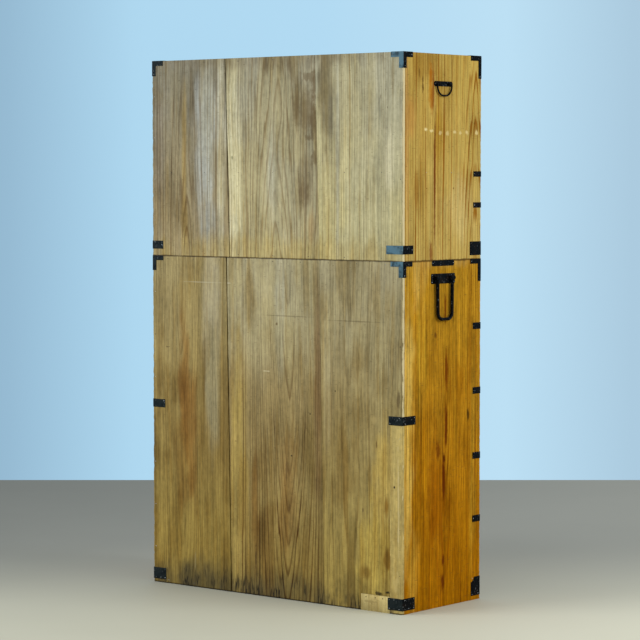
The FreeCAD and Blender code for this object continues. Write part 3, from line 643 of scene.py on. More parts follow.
@dataclass(frozen=True)
class NailFinish:
    """Hand-made nails: dark iron whose heads are rubbed bright here and there."""

    name: str = "nail_iron"
    dark: Colour = tone(30, 28, 25)
    bright: Colour = (0.56, 0.58, 0.58)
    rubbed_ends: Span = (0.44, 0.47)

    def build(self) -> Material:
        """Build the material.

        Returns:
            The nails' material.
        """
        graph = Graph(self.name)
        place = graph.place()
        chance = graph.noise(place, (60.0, 60.0, 60.0), 4.0, 1.0)
        grime = graph.noise(place, (900.0, 900.0, 900.0), 6.0, 2.0)
        shown = graph.times(graph.spread(chance, 0.42, 0.54), graph.spread(grime, 0.30, 0.50))
        aside = graph.calc("ABSOLUTE", graph.split(place)[0])
        shown = graph.times(shown, graph.spread(aside, *self.rubbed_ends, 0.1, 1.0))
        return graph.surface(
            normal=graph.relief(grime, 0.0002), base_color=graph.mix(shown, self.dark, self.bright),
            roughness=graph.spread(grime, 0.3, 0.7, 0.30, 0.55), metallic=0.35,
        )


Finish = Union[WoodFinish, IronFinish, NailFinish]


class Palette:
    """Builds each finish once and hands out its material."""

    made: Dict[str, Material] = {}

    @classmethod
    def of(cls, finish: Finish) -> Material:
        """The material of a finish.

        Args:
            finish: The finish.

        Returns:
            Its material.
        """
        if finish.name not in cls.made:
            cls.made[finish.name] = finish.build()
        return cls.made[finish.name]


# The bench: tools that act on one piece at a time, everything else being let go of first


def let_go() -> None:
    """Let go of everything."""
    if bpy.context.mode != "OBJECT":
        bpy.ops.object.mode_set(mode="OBJECT")
    bpy.ops.object.select_all(action="DESELECT")


def hold(piece: Thing) -> None:
    """Take hold of one piece alone.

    Args:
        piece: The piece.
    """
    let_go()
    piece.select_set(True)
    bpy.context.view_layer.objects.active = piece


def settle(piece: Thing) -> Thing:
    """Move a piece's place, turn and size into its mesh.

    Args:
        piece: The piece.

    Returns:
        The piece.
    """
    hold(piece)
    bpy.ops.object.transform_apply(location=True, rotation=True, scale=True)
    return piece


def added(name: str, scale: Sequence[float] = (1.0, 1.0, 1.0)) -> Thing:
    """Name the primitive that was added last, size it and settle it.

    Args:
        name: The piece's name.
        scale: Its size along each axis.

    Returns:
        The piece.
    """
    piece = bpy.context.object
    piece.name = name
    piece.scale = scale
    return settle(piece)


def block(name: str, low: Sequence[float], high: Sequence[float]) -> Thing:
    """A rough block of stock.

    Args:
        name: The piece's name.
        low: Its lowest corner.
        high: Its highest corner.

    Returns:
        The block, its place in its mesh.
    """
    let_go()
    middle = [(near + far) / 2 for near, far in zip(low, high)]
    bpy.ops.mesh.primitive_cube_add(size=1.0, location=middle)
    return added(name, [far - near for near, far in zip(low, high)])


@contextlib.contextmanager
def editing(piece: Thing, whole: bool = False) -> Iterator[None]:
    """Shape a piece in edit mode.

    Args:
        piece: The piece.
        whole: Whether all of it is selected at the start, or nothing.

    Yields:
        Nothing, while the piece is in edit mode.
    """
    hold(piece)
    bpy.ops.object.mode_set(mode="EDIT")
    bpy.ops.mesh.select_all(action="SELECT" if whole else "DESELECT")
    try:
        yield
    finally:
        bpy.ops.object.mode_set(mode="OBJECT")


def pick(piece: Thing, kind: str, test: Test) -> None:
    """In edit mode, select the parts whose middle passes a test.

    Args:
        piece: The piece being edited.
        kind: VERT, EDGE or FACE.
        test: Says of a part's middle whether it is wanted. An edge's ends have to pass too.
    """
    bpy.ops.mesh.select_mode(type=kind)
    bpy.ops.mesh.select_all(action="DESELECT")
    mesh = bmesh.from_edit_mesh(piece.data)
    if kind == "VERT":
        parts = [(vert, [vert.co]) for vert in mesh.verts]
    elif kind == "EDGE":
        ends = [(edge, edge.verts[0].co, edge.verts[1].co) for edge in mesh.edges]
        parts = [(edge, [start, (start + end) / 2, end]) for edge, start, end in ends]
    else:
        parts = [(face, [face.calc_center_median()]) for face in mesh.faces]
    for part, points in parts:
        if all(test(point) for point in points):
            part.select_set(True)
    mesh.select_flush_mode()
    bmesh.update_edit_mesh(piece.data)


def draw_out(way: Sequence[float]) -> None:
    """In edit mode, draw the picked parts out."""
    bpy.ops.mesh.extrude_region_move(TRANSFORM_OT_translate={"value": way})


def close_up() -> None:
    """In edit mode, make every face look outwards."""
    bpy.ops.mesh.select_all(action="SELECT")
    bpy.ops.mesh.normals_make_consistent(inside=False)


def divide(piece: Thing, test: Test, cuts: int) -> None:
    """Cut upright edges into equal lengths.

    Args:
        piece: The piece.
        test: Says of an edge's middle whether the edge is cut.
        cuts: How many cuts each edge gets.
    """
    with editing(piece):
        bpy.ops.mesh.select_mode(type="EDGE")
        mesh = bmesh.from_edit_mesh(piece.data)
        for edge in mesh.edges:
            start, end = (vert.co for vert in edge.verts)
            upright = abs((end - start).normalized().z) > 0.9
            if upright and test((start + end) / 2):
                edge.select_set(True)
        bmesh.update_edit_mesh(piece.data)
        bpy.ops.mesh.subdivide(number_cuts=cuts)


def score(piece: Thing, axis: int, place: float) -> None:
    """Score a piece all through with a flat cut, without parting it.

    Args:
        piece: The piece.
        axis: The axis that the cut is square to, 0 to 2.
        place: Where the cut is along that axis.
    """
    normal = [float(index == axis) for index in range(3)]
    with editing(piece, whole=True):
        bpy.ops.mesh.bisect(plane_co=(place, place, place), plane_no=normal)


def modify(piece: Thing, kind: str, **settings: object) -> None:
    """Add a modifier, set it and apply it.

    Args:
        piece: The piece.
        kind: The modifier's type.
        settings: Its settings.
    """
    hold(piece)
    modifier = piece.modifiers.new(kind.title(), kind)
    for word, value in settings.items():
        setattr(modifier, word, value)
    bpy.ops.object.modifier_apply(modifier=modifier.name)


def soften(piece: Thing, width: float, segments: int = 2, angle: float = 30.0) -> None:
    """Round the sharp edges of a piece.

    Args:
        piece: The piece.
        width: How wide the rounding is.
        segments: How many flats it has.
        angle: The sharpest fold that stays as it is, in degrees.
    """
    limit = math.radians(angle)
    modify(piece, "BEVEL", width=width, segments=segments, limit_method="ANGLE",
           angle_limit=limit, harden_normals=False)


def roughen(
    piece: Thing, test: Test, strength: float, size: float, axis: str = "NORMAL",
    level: float = 0.0, contrast: float = 1.0, bright: float = 1.0,
) -> None:
    """Move part of a surface by soft noise.

    Args:
        piece: The piece.
        test: Says of a point whether it may move.
        strength: The furthest a point moves, outwards or along the axis.
        size: The size of the noise's lumps.
        axis: NORMAL, X, Y or Z.
        level: The noise value that moves nothing.
        contrast: How sharply the noise changes.
        bright: How much of the noise is above nothing.
    """
    noise = bpy.data.textures.new(piece.name + "_noise", "CLOUDS")
    noise.noise_scale, noise.noise_depth = size, 2
    noise.contrast, noise.intensity = contrast, bright
    noise.use_clamp = True
    group = piece.vertex_groups.new(name="moved")
    group.add([vert.index for vert in piece.data.vertices if test(vert.co)], 1.0, "REPLACE")
    modify(piece, "DISPLACE", texture=noise, texture_coords="LOCAL", direction=axis,
           strength=strength, mid_level=level, vertex_group=group.name)
    piece.vertex_groups.clear()
    bpy.data.textures.remove(noise)


def cut_out(piece: Thing, cutter: Thing) -> None:
    """Take a cutter's shape out of a piece, and throw the cutter away."""
    modify(piece, "BOOLEAN", operation="DIFFERENCE", solver="EXACT", object=cutter)
    bpy.data.objects.remove(cutter)


def joined(name: str, pieces: Sequence[Thing]) -> Thing:
    """Make several pieces one object.

    Args:
        name: The object's name.
        pieces: The pieces, at least one.

    Returns:
        The object.
    """
    hold(pieces[0])
    for piece in pieces[1:]:
        piece.select_set(True)
    if len(pieces) > 1:
        bpy.ops.object.join()
    pieces[0].name = name
    return pieces[0]


def copy_of(pattern: Thing, name: str) -> Thing:
    """A copy of a pattern with a mesh of its own.

    Args:
        pattern: The pattern.
        name: The copy's name.

    Returns:
        The copy.
    """
    piece = bpy.data.objects.new(name, pattern.data.copy())
    bpy.context.scene.collection.objects.link(piece)
    return piece


def point_out(piece: Thing, place: Sequence[float], out: Sequence[float]) -> Thing:
    """Place a part that was made standing on the origin.

    Args:
        piece: The part.
        place: Where its foot goes.
        out: Which way its +Z looks.

    Returns:
        The part.
    """
    piece.location = place
    piece.rotation_mode = "QUATERNION"
    piece.rotation_quaternion = Vector(out).to_track_quat("Z", "Y")
    return settle(piece)


def place_at(piece: Thing, place: Sequence[float], turn: float = 0.0) -> None:
    """Place a part that was made with its front at -Y.

    Args:
        piece: The part.
        place: Where its origin goes.
        turn: How many quarter turns it makes about +Z.
    """
    piece.location = place
    piece.rotation_euler = (0.0, 0.0, turn * math.pi / 2)
    settle(piece)


def copy_of_node(node: str, name: str) -> Thing:
    """A merged copy of a frame node, its flat faces made whole.

    Args:
        node: The frame node.
        name: The copy's name.

    Returns:
        The copy.
    """
    piece = copy_of(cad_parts[node], name)
    with editing(piece, whole=True):
        bpy.ops.mesh.remove_doubles(threshold=WELD)
        bpy.ops.mesh.dissolve_limited(angle_limit=math.radians(0.5))
    return piece


def hand_over(
    piece: Thing, body: str, slot: Slot, finish: Finish, nodes: Sequence[str] = (),
    angle: float = 25.0,
) -> None:
    """Dress a finished piece and hang it on its body.

    Args:
        piece: The piece.
        body: The body that it moves with.
        slot: The record's slot that its finish belongs to. It is not used.
        finish: Its finish.
        nodes: The frame nodes that it stands for.
        angle: The sharpest fold, in degrees, that is shaded smoothly.
    """
    settle(piece)
    bpy.ops.object.shade_smooth_by_angle(angle=math.radians(angle))
    piece.data.materials.clear()
    piece.data.materials.append(Palette.of(finish))
    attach(piece, body)
    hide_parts(*nodes)
    log.info("%s rides on %s: %d faces", piece.name, body, len(piece.data.polygons))


def carry_over(node: str, finish: Finish) -> None:
    """Give a frame node, whose shape is right, its finish.

    Args:
        node: The frame node.
        finish: Its finish.
    """
    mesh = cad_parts[node].data
    mesh.materials.clear()
    mesh.materials.append(Palette.of(finish))
    log.info("%s is carried over", node)


@dataclass(frozen=True)
class Turning:
    """A turned or forged round part: rings along an axis, each a distance and a radius."""

    rings: Tuple[Span, ...]
    sides: int = 20

    @classmethod
    def twin(cls, half: float, radius: float, end: Sequence[Span], sides: int = 20) -> "Turning":
        """A part whose ends are alike, by each ring's distance from an end and its share."""
        near = [(step - half, radius * share) for step, share in end]
        return cls((*near, *((-place, wide) for place, wide in reversed(near))), sides)

    @classmethod
    def post(
        cls, reach: float, radius: float, foot: Sequence[Span], nose: Sequence[Span]
    ) -> "Turning":
        """A post, by its rings' heights or distances from its tip, and their shares."""
        rings = [*foot, *((reach - depth, share) for depth, share in nose)]
        return cls(tuple((height, radius * share) for height, share in rings))

    def make(self, name: str) -> Thing:
        """Make it at the origin, its axis along +Z.

        Args:
            name: The piece's name.

        Returns:
            The piece.
        """
        let_go()
        (start, radius), *others = self.rings
        bpy.ops.mesh.primitive_circle_add(
            vertices=self.sides, radius=radius, fill_type="NGON", location=(0.0, 0.0, start)
        )
        piece = added(name)
        with editing(piece, whole=True):
            bpy.ops.mesh.select_mode(type="FACE")
            for height, wide in others:
                draw_out((0.0, 0.0, height - start))
                bpy.ops.transform.resize(
                    value=(wide / radius,) * 3, center_override=(0.0, 0.0, height)
                )
                start, radius = height, wide
            close_up()
        return piece


@dataclass(frozen=True)
class BentBar:
    """A handle of round bar, hanging from its pivots at the origin, spread along X.

    Two legs hang from the pivots, a corner turns each into the bar that the hand holds, and on a
    bail the upper ends turn inwards to run in the posts. draw_in is how much nearer the legs come
    to each other at the bar, thin how thick the bar's middle is left, and grip how long the thick
    end beside each corner is.
    """

    span: float
    drop: float
    rod: float
    corner: float
    standoff: float
    turn: float = 0.0
    pin: float = 0.0
    steps: int = 7
    sides: int = 14
    draw_in: float = 0.0
    thin: float = 1.0
    grip: float = 0.004

    def make(self, name: str) -> Thing:
        """Bend the bar.

        Args:
            name: The piece's name.

        Returns:
            The bar at the origin, its front at -Y.
        """
        half, near = self.span / 2, -self.standoff
        run = self.span - 2 * self.corner
        leg = self.drop - self.corner - self.turn
        let_go()
        bpy.ops.mesh.primitive_circle_add(
            vertices=self.sides, radius=self.rod, fill_type="NGON",
            location=(half - self.turn - self.pin, near, 0.0),
            rotation=(0.0, math.pi / 2, 0.0) if self.turn else (math.pi, 0.0, 0.0),
        )
        bar = added(name)
        with editing(bar, whole=True):
            bpy.ops.mesh.select_mode(type="FACE")
            if self.turn:
                self._run((self.pin, 0.0, 0.0), 2)
                self._bend((half - self.turn, near, -self.turn))
            self._run((0.0, 0.0, -leg), 6)
            self._bend((half - self.corner, near, self.corner - self.drop))
            self._run((-run, 0.0, 0.0), 6)
            self._bend((self.corner - half, near, self.corner - self.drop))
            self._run((0.0, 0.0, leg), 6)
            if self.turn:
                self._bend((self.turn - half, near, -self.turn))
                self._run((self.pin, 0.0, 0.0), 2)
            bpy.ops.mesh.select_all(action="SELECT")
            bpy.ops.mesh.remove_doubles(threshold=WELD)
            close_up()
            self._forge(bar)
        return bar

    @staticmethod
    def _run(way: Point, parts: int) -> None:
        """Draw the held end straight on, in equal parts."""
        for _ in range(parts):
            draw_out([share / parts for share in way])

    def _bend(self, middle: Point) -> None:
        """Turn the held end by a right angle round a level axis through a middle."""
        settings = {"center": middle, "axis": (0.0, -1.0, 0.0), "dupli": False}
        bpy.ops.mesh.spin(steps=self.steps, angle=math.pi / 2, **settings)

    def _forge(self, bar: Thing) -> None:
        """Draw the legs together towards the bar, and thin the bar's middle a little.

        Args:
            bar: The bar, in edit mode.
        """
        if self.draw_in:
            levels = sorted({round(vert.co.z, 5) for vert in bmesh.from_edit_mesh(bar.data).verts})
            for level in levels:
                share = 1.0 - self.draw_in * min(1.0, -level / self.drop) if level < 0 else 1.0
                pick(bar, "VERT", lambda point: at(point.z, level, WELD))
                bpy.ops.transform.resize(value=(share, 1.0, 1.0), center_override=(0.0, 0.0, level))
        if self.thin < 1.0:
            low, reach = self.corner - self.drop, self.span / 2 - self.corner - self.grip
            pick(bar, "VERT", lambda point: abs(point.x) < reach and point.z < low)
            middle = (0.0, -self.standoff, -self.drop)
            bpy.ops.transform.resize(value=(1.0, self.thin, self.thin), center_override=middle)


# The cases


@dataclass(frozen=True)
class Seam:
    """A seam between two back boards: its place at the head and at the foot, and its width."""

    head: float
    foot: float
    gap: float


@dataclass(frozen=True)
class Repair:
    """New wood let into the back at its -X corner: an upright strip, and a small patch beside it.

    open_side, open_head and open_end are the gaps beside both, over the strip and over the patch,
    and at the patch's end.
    """

    strip_width: float = 0.050
    strip_height: float = 0.594
    strip_arris: float = 0.0008
    strip_wear: float = 0.0014
    patch_length: float = 0.115
    patch_height: float = 0.053
    patch_arris: float = 0.0006
    open_side: float = 0.0003
    open_head: Span = (0.0005, 0.0006)
    open_end: float = 0.0004

    def corners(self, foot: float) -> Tuple[Span, Span]:
        """How far the strip and the patch reach, each along X and up, over a case's foot."""
        x = self.strip_width - CHEST.half
        return (x, foot + self.strip_height), (x + self.patch_length, foot + self.patch_height)


@dataclass(frozen=True)
class Member:
    """A board between the sides, by its place behind the front, its foot and its thickness."""

    name: str
    node: str
    start: float
    end: float
    foot: float
    thick: float
    plain: bool = True
    half: float = 0.516
    grooves: Tuple[float, ...] = ()
    groove_width: float = 0.016
    groove_depth: float = 0.003
    groove_up: bool = True


@dataclass
class Carcase:
    """The boards of one case: two to each side, three across the back, and those between.

    arrises holds the width of the arrises of the back, the sides and the boards between, and
    wear the deepest chips in the outer ones of the back and the sides. margin is how far past
    the wood a cutter stands.
    """

    section: Section
    foot: float
    head: float
    wide: Seam
    tight: Seam
    back_finishes: Sequence[WoodFinish]
    side_finishes: Dict[Hand, WoodFinish]
    shelf_finish: WoodFinish
    member_finish: WoodFinish
    between: Sequence[Member]
    repair: Optional[Repair] = None
    seam_y: float = -0.0075
    seam_cuts: int = 120
    arrises: Point = (0.0009, 0.0007, 0.0006)
    wear: Span = (0.0016, 0.0009)
    margin: float = 0.01

    @property
    def inner_back(self) -> float:
        """Where the back boards lie against the sides."""
        return CHEST.face - CHEST.back_thick

    @property
    def rows(self) -> int:
        """How many rows the wear cuts an upright edge into."""
        return int((self.head - self.foot) / ROW)

    def build(self) -> None:
        """Build and dress every board of the case."""
        for hand in Hand:
            self.side(hand)
        self.back()
        if self.repair:
            self.mend(self.repair)
        self.members()

    def _dress(self, board: Thing, slot: Slot, finish: WoodFinish, *nodes: str) -> None:
        """Finish one board."""
        hand_over(board, self.section.value, slot, finish, nodes)

    def side(self, hand: Hand) -> None:
        """Make the two boards of one side.

        Args:
            hand: The side.
        """
        outer, edge = hand.value * CHEST.half, self.seam_y
        low_x, high_x = sorted((outer, outer - hand.value * CHEST.side_thick))
        runs = (("front", -CHEST.face, edge), ("rear", edge, self.inner_back))
        for part, start, end in runs:
            name = f"{self.section.word}_{hand.word}_{part}_side_board"
            board = block(name, (low_x, start, self.foot), (high_x, end, self.head))
            if part == "front":
                self._score_arris(board, outer, start)
                divide(board, self._beside(outer, start, WEAR_BAND), self.rows)
            divide(board, self._beside(outer, edge, TOUCH), self.seam_cuts)
            soften(board, self.arrises[1])
            near = 0.0012
            roughen(
                board, lambda point: at(point.y, edge, near) and at(point.x, outer, near),
                strength=-0.0006, size=0.03,
            )
            if part == "front":
                self._wear_arris(board, outer, start, self.wear[1])
            node = f"{self.section.word}_side_boards"
            self._dress(board, Slot.SIDE, self.side_finishes[hand], node)

    @staticmethod
    def _beside(x: float, y: float, reach: float) -> Test:
        """The test of whether a point is beside an upright line, within a reach."""
        return lambda point: abs(point.y - y) + abs(point.x - x) < reach

    @staticmethod
    def _wear_arris(board: Thing, x: float, y: float, depth: float) -> None:
        """Chip and rub an upright arris, never outwards.

        Args:
            board: The board.
            x: The arris's place along X.
            y: Its place along Y.
            depth: The deepest chip.
        """
        near = 0.0035
        roughen(
            board, lambda point: at(point.x, x, near) and at(point.y, y, near), strength=-depth,
            size=0.012, contrast=3.2, bright=0.95,
        )

    @staticmethod
    def _score_arris(board: Thing, x: float, y: float) -> None:
        """Score a board beside its outer arris, so that the wear stays near the arris."""
        for axis, place in enumerate((x, y)):
            score(board, axis, place - math.copysign(WEAR_REACH, place))

    def back(self) -> None:
        """Make the three boards of the back, from the -X end on."""
        seams = (None, self.tight, self.wide, None)
        for place, finish in enumerate(self.back_finishes):
            self.back_board(seams[place], seams[place + 1], place, finish)

    def back_board(
        self, low: Optional[Seam], high: Optional[Seam], place: int, finish: WoodFinish
    ) -> None:
        """Make one back board between two seams, or between a seam and the case's end.

        Args:
            low: The seam at its -X edge, or None at the end of the case.
            high: The seam at its +X edge, or None at the end of the case.
            place: Which board it is, counted from 0 at the -X end.
            finish: Its finish.
        """
        word, crown = self.section.word, self.head
        low_foot, low_head = self._edge(low, -CHEST.half, 1)
        high_foot, high_head = self._edge(high, CHEST.half, -1)
        board = block(
            f"{word}_back_board_{place + 1}", (low_foot, self.inner_back, self.foot),
            (high_foot, CHEST.face, crown),
        )
        with editing(board):
            for edge, head in ((low_foot, low_head), (high_foot, high_head)):
                pick(board, "VERT", lambda point: at(point.x, edge) and at(point.z, crown))
                bpy.ops.transform.translate(value=(head - edge, 0.0, 0.0))
        if self.repair and low is None:
            self._notch(board, self.repair)
        for hand in Hand:
            self._score_arris(board, hand.value * CHEST.half, CHEST.face)
        deep = self.inner_back + 0.001
        divide(board, lambda point: point.y > deep and self._upright(point, low, high), self.rows)
        soften(board, self.arrises[0])
        self._wander(board, low, high)
        for hand in Hand:
            self._wear_arris(board, hand.value * CHEST.half, CHEST.face, self.wear[0])
        self._dress(board, Slot.BACK, finish, f"{word}_back_boards")

    @staticmethod
    def _edge(seam: Optional[Seam], end: float, side: int) -> Span:
        """Where a board's edge is at its foot and at its head.

        Args:
            seam: The seam there, or None at the end of the case.
            end: The case's end.
            side: The sign of the way from the seam into the board.

        Returns:
            The edge's place along X at its foot and at its head.
        """
        if seam is None:
            return end, end
        return seam.foot + side * seam.gap / 2, seam.head + side * seam.gap / 2

    def _seam_at(self, seam: Seam, z: float) -> float:
        """Where a seam is at a height."""
        return seam.foot + (seam.head - seam.foot) * (z - self.foot) / (self.head - self.foot)

    def _upright(self, point: Vector, low: Optional[Seam], high: Optional[Seam]) -> bool:
        """Whether a point is on one of a back board's upright edges."""
        seams = [self._seam_at(seam, point.z) for seam in (low, high) if seam]
        return any(at(point.x, place, WEAR_BAND) for place in [-CHEST.half, CHEST.half] + seams)

    def _wander(self, board: Thing, low: Optional[Seam], high: Optional[Seam]) -> None:
        """Let a board's edges wander a little along its seams, into the board.

        Args:
            board: The board.
            low: The seam at its -X edge.
            high: The seam at its +X edge.
        """
        for seam, side in ((low, 1), (high, -1)):
            if seam:
                span = seam.gap / 2 + self.arrises[0] * 1.2
                roughen(
                    board, lambda point: at(point.x, self._seam_at(seam, point.z), span),
                    strength=side * min(0.0016, seam.gap * 0.75), size=0.045, axis="X",
                    contrast=1.8,
                )

    def _notch(self, board: Thing, repair: Repair) -> None:
        """Cut the places of the new wood out of the corner board, and score it beside them.

        Args:
            board: The board.
            repair: The new wood.
        """
        near = (-CHEST.half - self.margin, self.inner_back - self.margin, self.foot - self.margin)
        reaches = repair.corners(self.foot)
        for x, z in reaches:
            cut_out(board, block("cutter", near, (x, CHEST.face + self.margin, z)))
        score(board, 0, reaches[0][0])
        for _, z in reaches:
            score(board, 2, z)

    def mend(self, repair: Repair) -> None:
        """Make the two pieces of new wood.

        Args:
            repair: Their sizes.
        """
        edge, inner = -CHEST.half, self.inner_back
        (x, z), (patch_x, patch_z) = repair.corners(self.foot)
        strip_low, patch_low = ((place, inner, self.foot) for place in (edge, x + repair.open_side))
        strip_high = (x - repair.open_side, CHEST.face, z - repair.open_head[0])
        strip = block("lower_repair_strip", strip_low, strip_high)
        self._score_arris(strip, edge, CHEST.face)
        outer = self._beside(edge, CHEST.face, WEAR_BAND)
        divide(strip, outer, int(repair.strip_height / ROW))
        soften(strip, repair.strip_arris)
        self._wear_arris(strip, edge, CHEST.face, repair.strip_wear)
        self._dress(strip, Slot.BACK, STRIP_WOOD)
        patch_high = (patch_x - repair.open_end, CHEST.face, patch_z - repair.open_head[1])
        patch = block("lower_repair_patch", patch_low, patch_high)
        soften(patch, repair.patch_arris)
        self._dress(patch, Slot.BACK, PATCH_WOOD)

    def members(self) -> None:
        """Make the boards between the sides, their front edges a little rounded."""
        for member in self.between:
            low = (-member.half, -CHEST.face + member.start, member.foot)
            high = (member.half, -CHEST.face + member.end, member.foot + member.thick)
            board = block(f"{self.section.word}_{member.name}", low, high)
            for groove in member.grooves:
                lift = member.thick - member.groove_depth if member.groove_up else -self.margin
                near, foot = -CHEST.face + groove, member.foot + lift
                far, top = near + member.groove_width, foot + member.groove_depth + self.margin
                start, end = (-CHEST.width, near, foot), (CHEST.width, far, top)
                cut_out(board, block("cutter", start, end))
            soften(board, self.arrises[2])
            finish = self.shelf_finish if member.plain else self.member_finish
            self._dress(board, Slot.CASE, finish, member.node)


# Ironwork


@dataclass(frozen=True)
class Cap:
    """A corner cap: arms along the upper edges and a leg down the corner."""

    arm: float
    leg: float
    width: float


@dataclass(frozen=True)
class Strap:
    """A strap bent round an upright edge: its foot, its height and its two arms."""

    part: str
    end: End
    foot: float
    height: float
    end_arm: float
    side_arm: float
    notch: float = 0.0


@dataclass
class Ironwork:
    """The sheet irons of one case, with the nails that hold them.

    rim is how far under the crown a sheet stops buckling, so that a cap lies flat there. head is
    the shape of a nail's head, in shares of its height and of its radius.
    """

    section: Section
    crown: float
    over_top: bool
    straps: Sequence[Strap]
    finish: IronFinish
    nails: NailFinish
    caps: Dict[End, Cap]
    hand_straps: Dict[Hand, Strap] = field(default_factory=dict)
    fold: float = 0.0010
    buckle: float = 0.00035
    edge: float = 0.00035
    rim: float = 0.0004
    head: Turning = Turning(((0.0, 1.0), (0.35, 0.96), (0.75, 0.62), (1.0, 0.16)), sides=10)

    def build(self) -> None:
        """Build and dress every iron of the case."""
        for hand in Hand:
            for end, size in self.caps.items():
                self.cap(hand, end, size)
            own = [self.hand_straps[hand]] if hand in self.hand_straps else []
            for strap in [*self.straps, *own]:
                self.strap(hand, strap)
        self.drive_nails()

    def _form(self, sheet: Thing, cuts: int, cutter: Optional[Thing] = None) -> None:
        """Round a sheet's folds, let it buckle a little, give it its thickness and dress it.

        Args:
            sheet: The bent sheet.
            cuts: How finely it is divided.
            cutter: What is cut out of it, if anything.
        """
        soften(sheet, self.fold, segments=3)
        with editing(sheet, whole=True):
            bpy.ops.mesh.subdivide(number_cuts=cuts)
        rim = self.crown - self.rim
        roughen(sheet, lambda point: point.z < rim, self.buckle, size=0.02, level=0.35)
        modify(sheet, "SOLIDIFY", thickness=CHEST.iron, offset=1.0, use_even_offset=True)
        if cutter:
            cut_out(sheet, cutter)
        soften(sheet, self.edge, angle=50.0)
        node = f"{self.section.word}_ironwork"
        hand_over(sheet, self.section.value, Slot.IRON, self.finish, [node], angle=40.0)

    def cap(self, hand: Hand, end: End, size: Cap) -> None:
        """Fold a corner cap over two faces of a case, or over three.

        Args:
            hand: The side of the case.
            end: Its front or its back.
            size: The cap's sizes.
        """
        corner = (hand.value * CHEST.half, end.value * CHEST.face, self.crown)
        signs, arms = (hand.value, end.value, 1), (size.arm, size.arm, size.leg)
        inner = [place - sign * arm for place, sign, arm in zip(corner, signs, arms)]
        low, high = ([choose(pair) for pair in zip(corner, inner)] for choose in (min, max))
        sheet = block(f"{self.section.word}_{hand.word}_{end.word}_cap", low, high)
        for axis in range(3):
            score(sheet, axis, corner[axis] - signs[axis] * size.width)

        def waste(point: Vector) -> bool:
            """Whether a cell of the block isn't part of the sheet.

            Args:
                point: The cell's middle.

            Returns:
                Whether it is taken away.
            """
            near = [abs(gap) < size.width for gap in point - Vector(corner)]
            on = [axis for axis in range(2 + self.over_top) if at(point[axis], corner[axis])]
            return not on or not any(near[axis] for axis in range(3) if axis != on[0])

        with editing(sheet):
            pick(sheet, "FACE", waste)
            bpy.ops.mesh.delete(type="FACE")
        self._form(sheet, 3)

    def strap(self, hand: Hand, strap: Strap) -> None:
        """Bend a strap round an upright edge of the case.

        Args:
            hand: The side of the case.
            strap: The strap's sizes.
        """
        x, y = hand.value * CHEST.half, strap.end.value * CHEST.face
        let_go()
        bpy.ops.mesh.primitive_plane_add(
            size=1.0,
            location=(x - hand.value * strap.end_arm / 2, y, strap.foot + strap.height / 2),
            rotation=(-strap.end.value * math.pi / 2, 0.0, 0.0),
        )
        name = f"{self.section.word}_{hand.word}_{strap.part}"
        sheet = added(name, (strap.end_arm, strap.height, 1.0))
        with editing(sheet):
            pick(sheet, "EDGE", lambda point: at(point.x, x))
            draw_out((0.0, -strap.end.value * strap.side_arm, 0.0))
            close_up()
        self._face_outwards(sheet, hand)
        self._form(sheet, 5, self._notch(hand, strap) if strap.notch else None)

    @staticmethod
    def _face_outwards(sheet: Thing, hand: Hand) -> None:
        """Turn a sheet's faces outwards, as an open sheet has no inside of its own.

        Args:
            sheet: The sheet.
            hand: The side of the case.
        """
        with editing(sheet, whole=True):
            mesh = bmesh.from_edit_mesh(sheet.data)
            side = [face.normal.x for face in mesh.faces if abs(face.normal.x) > 0.5]
            if any(way * hand.value < 0 for way in side):
                bpy.ops.mesh.flip_normals()

    @staticmethod
    def _notch(hand: Hand, strap: Strap) -> Thing:
        """The round cutter that takes the upper inner corner off a strap's side arm.

        Args:
            hand: The side of the case.
            strap: The strap's sizes.

        Returns:
            The cutter, in its place.
        """
        reach = CHEST.iron * 4
        cutter = Turning(((-reach, strap.notch), (reach, strap.notch)), sides=48).make("cutter")
        y = strap.end.value * (CHEST.face - strap.side_arm)
        place = (hand.value * CHEST.half, y, strap.foot + strap.height)
        return point_out(cutter, place, (hand.value, 0.0, 0.0))

    def drive_nails(self) -> None:
        """Set a forged head on every nail of the frame."""
        name = f"{self.section.word}_nails"
        hold(copy_of_node(name, name + "_places"))
        bpy.ops.mesh.separate(type="LOOSE")
        places = []
        for island in list(bpy.context.selected_objects):
            points = [vert.co for vert in island.data.vertices]
            low, high = (
                Vector([choose(point[axis] for point in points) for axis in range(3)])
                for choose in (min, max)
            )
            places.append(self._head_place(low, high))
            bpy.data.objects.remove(island)
        head = self.head.make("nail_head")
        heads = []
        for index, (place, out) in enumerate(sorted(places, key=lambda pair: tuple(pair[0]))):
            nail = copy_of(head, f"nail_{index}")
            wide = NAIL_RADIUS * (0.86 + 0.14 * math.sin(index * 2.4))
            nail.scale = (wide, wide * (0.9 + 0.1 * math.cos(index * 1.7)), NAIL_HEIGHT)
            heads.append(point_out(nail, place, out))
        bpy.data.objects.remove(head)
        whole = joined(name + "_heads", heads)
        hand_over(whole, self.section.value, Slot.IRON, self.nails, [name], angle=50.0)

    @staticmethod
    def _head_place(low: Vector, high: Vector) -> Tuple[Vector, Vector]:
        """Where a nail's head sits, and which way it looks.

        Args:
            low: The nail's lowest corner.
            high: Its highest corner.

        Returns:
            The middle of the head's underside and the way out.
        """
        size, place = high - low, (low + high) / 2
        axis = 0 if size.x > size.y else 1
        sign = math.copysign(1.0, place[axis])
        place[axis] = (high if sign > 0 else low)[axis] - sign * NAIL_HEIGHT
        return place, Vector([sign if index == axis else 0.0 for index in range(3)])


@dataclass(frozen=True)
class Plate:
    """A flat plate on an end: its middle along Y and Z, its length and height, and its clipping.

    corner is how much is clipped from each of its corners.
    """

    section: Section
    part: str
    middle: Span
    size: Span
    corner: float


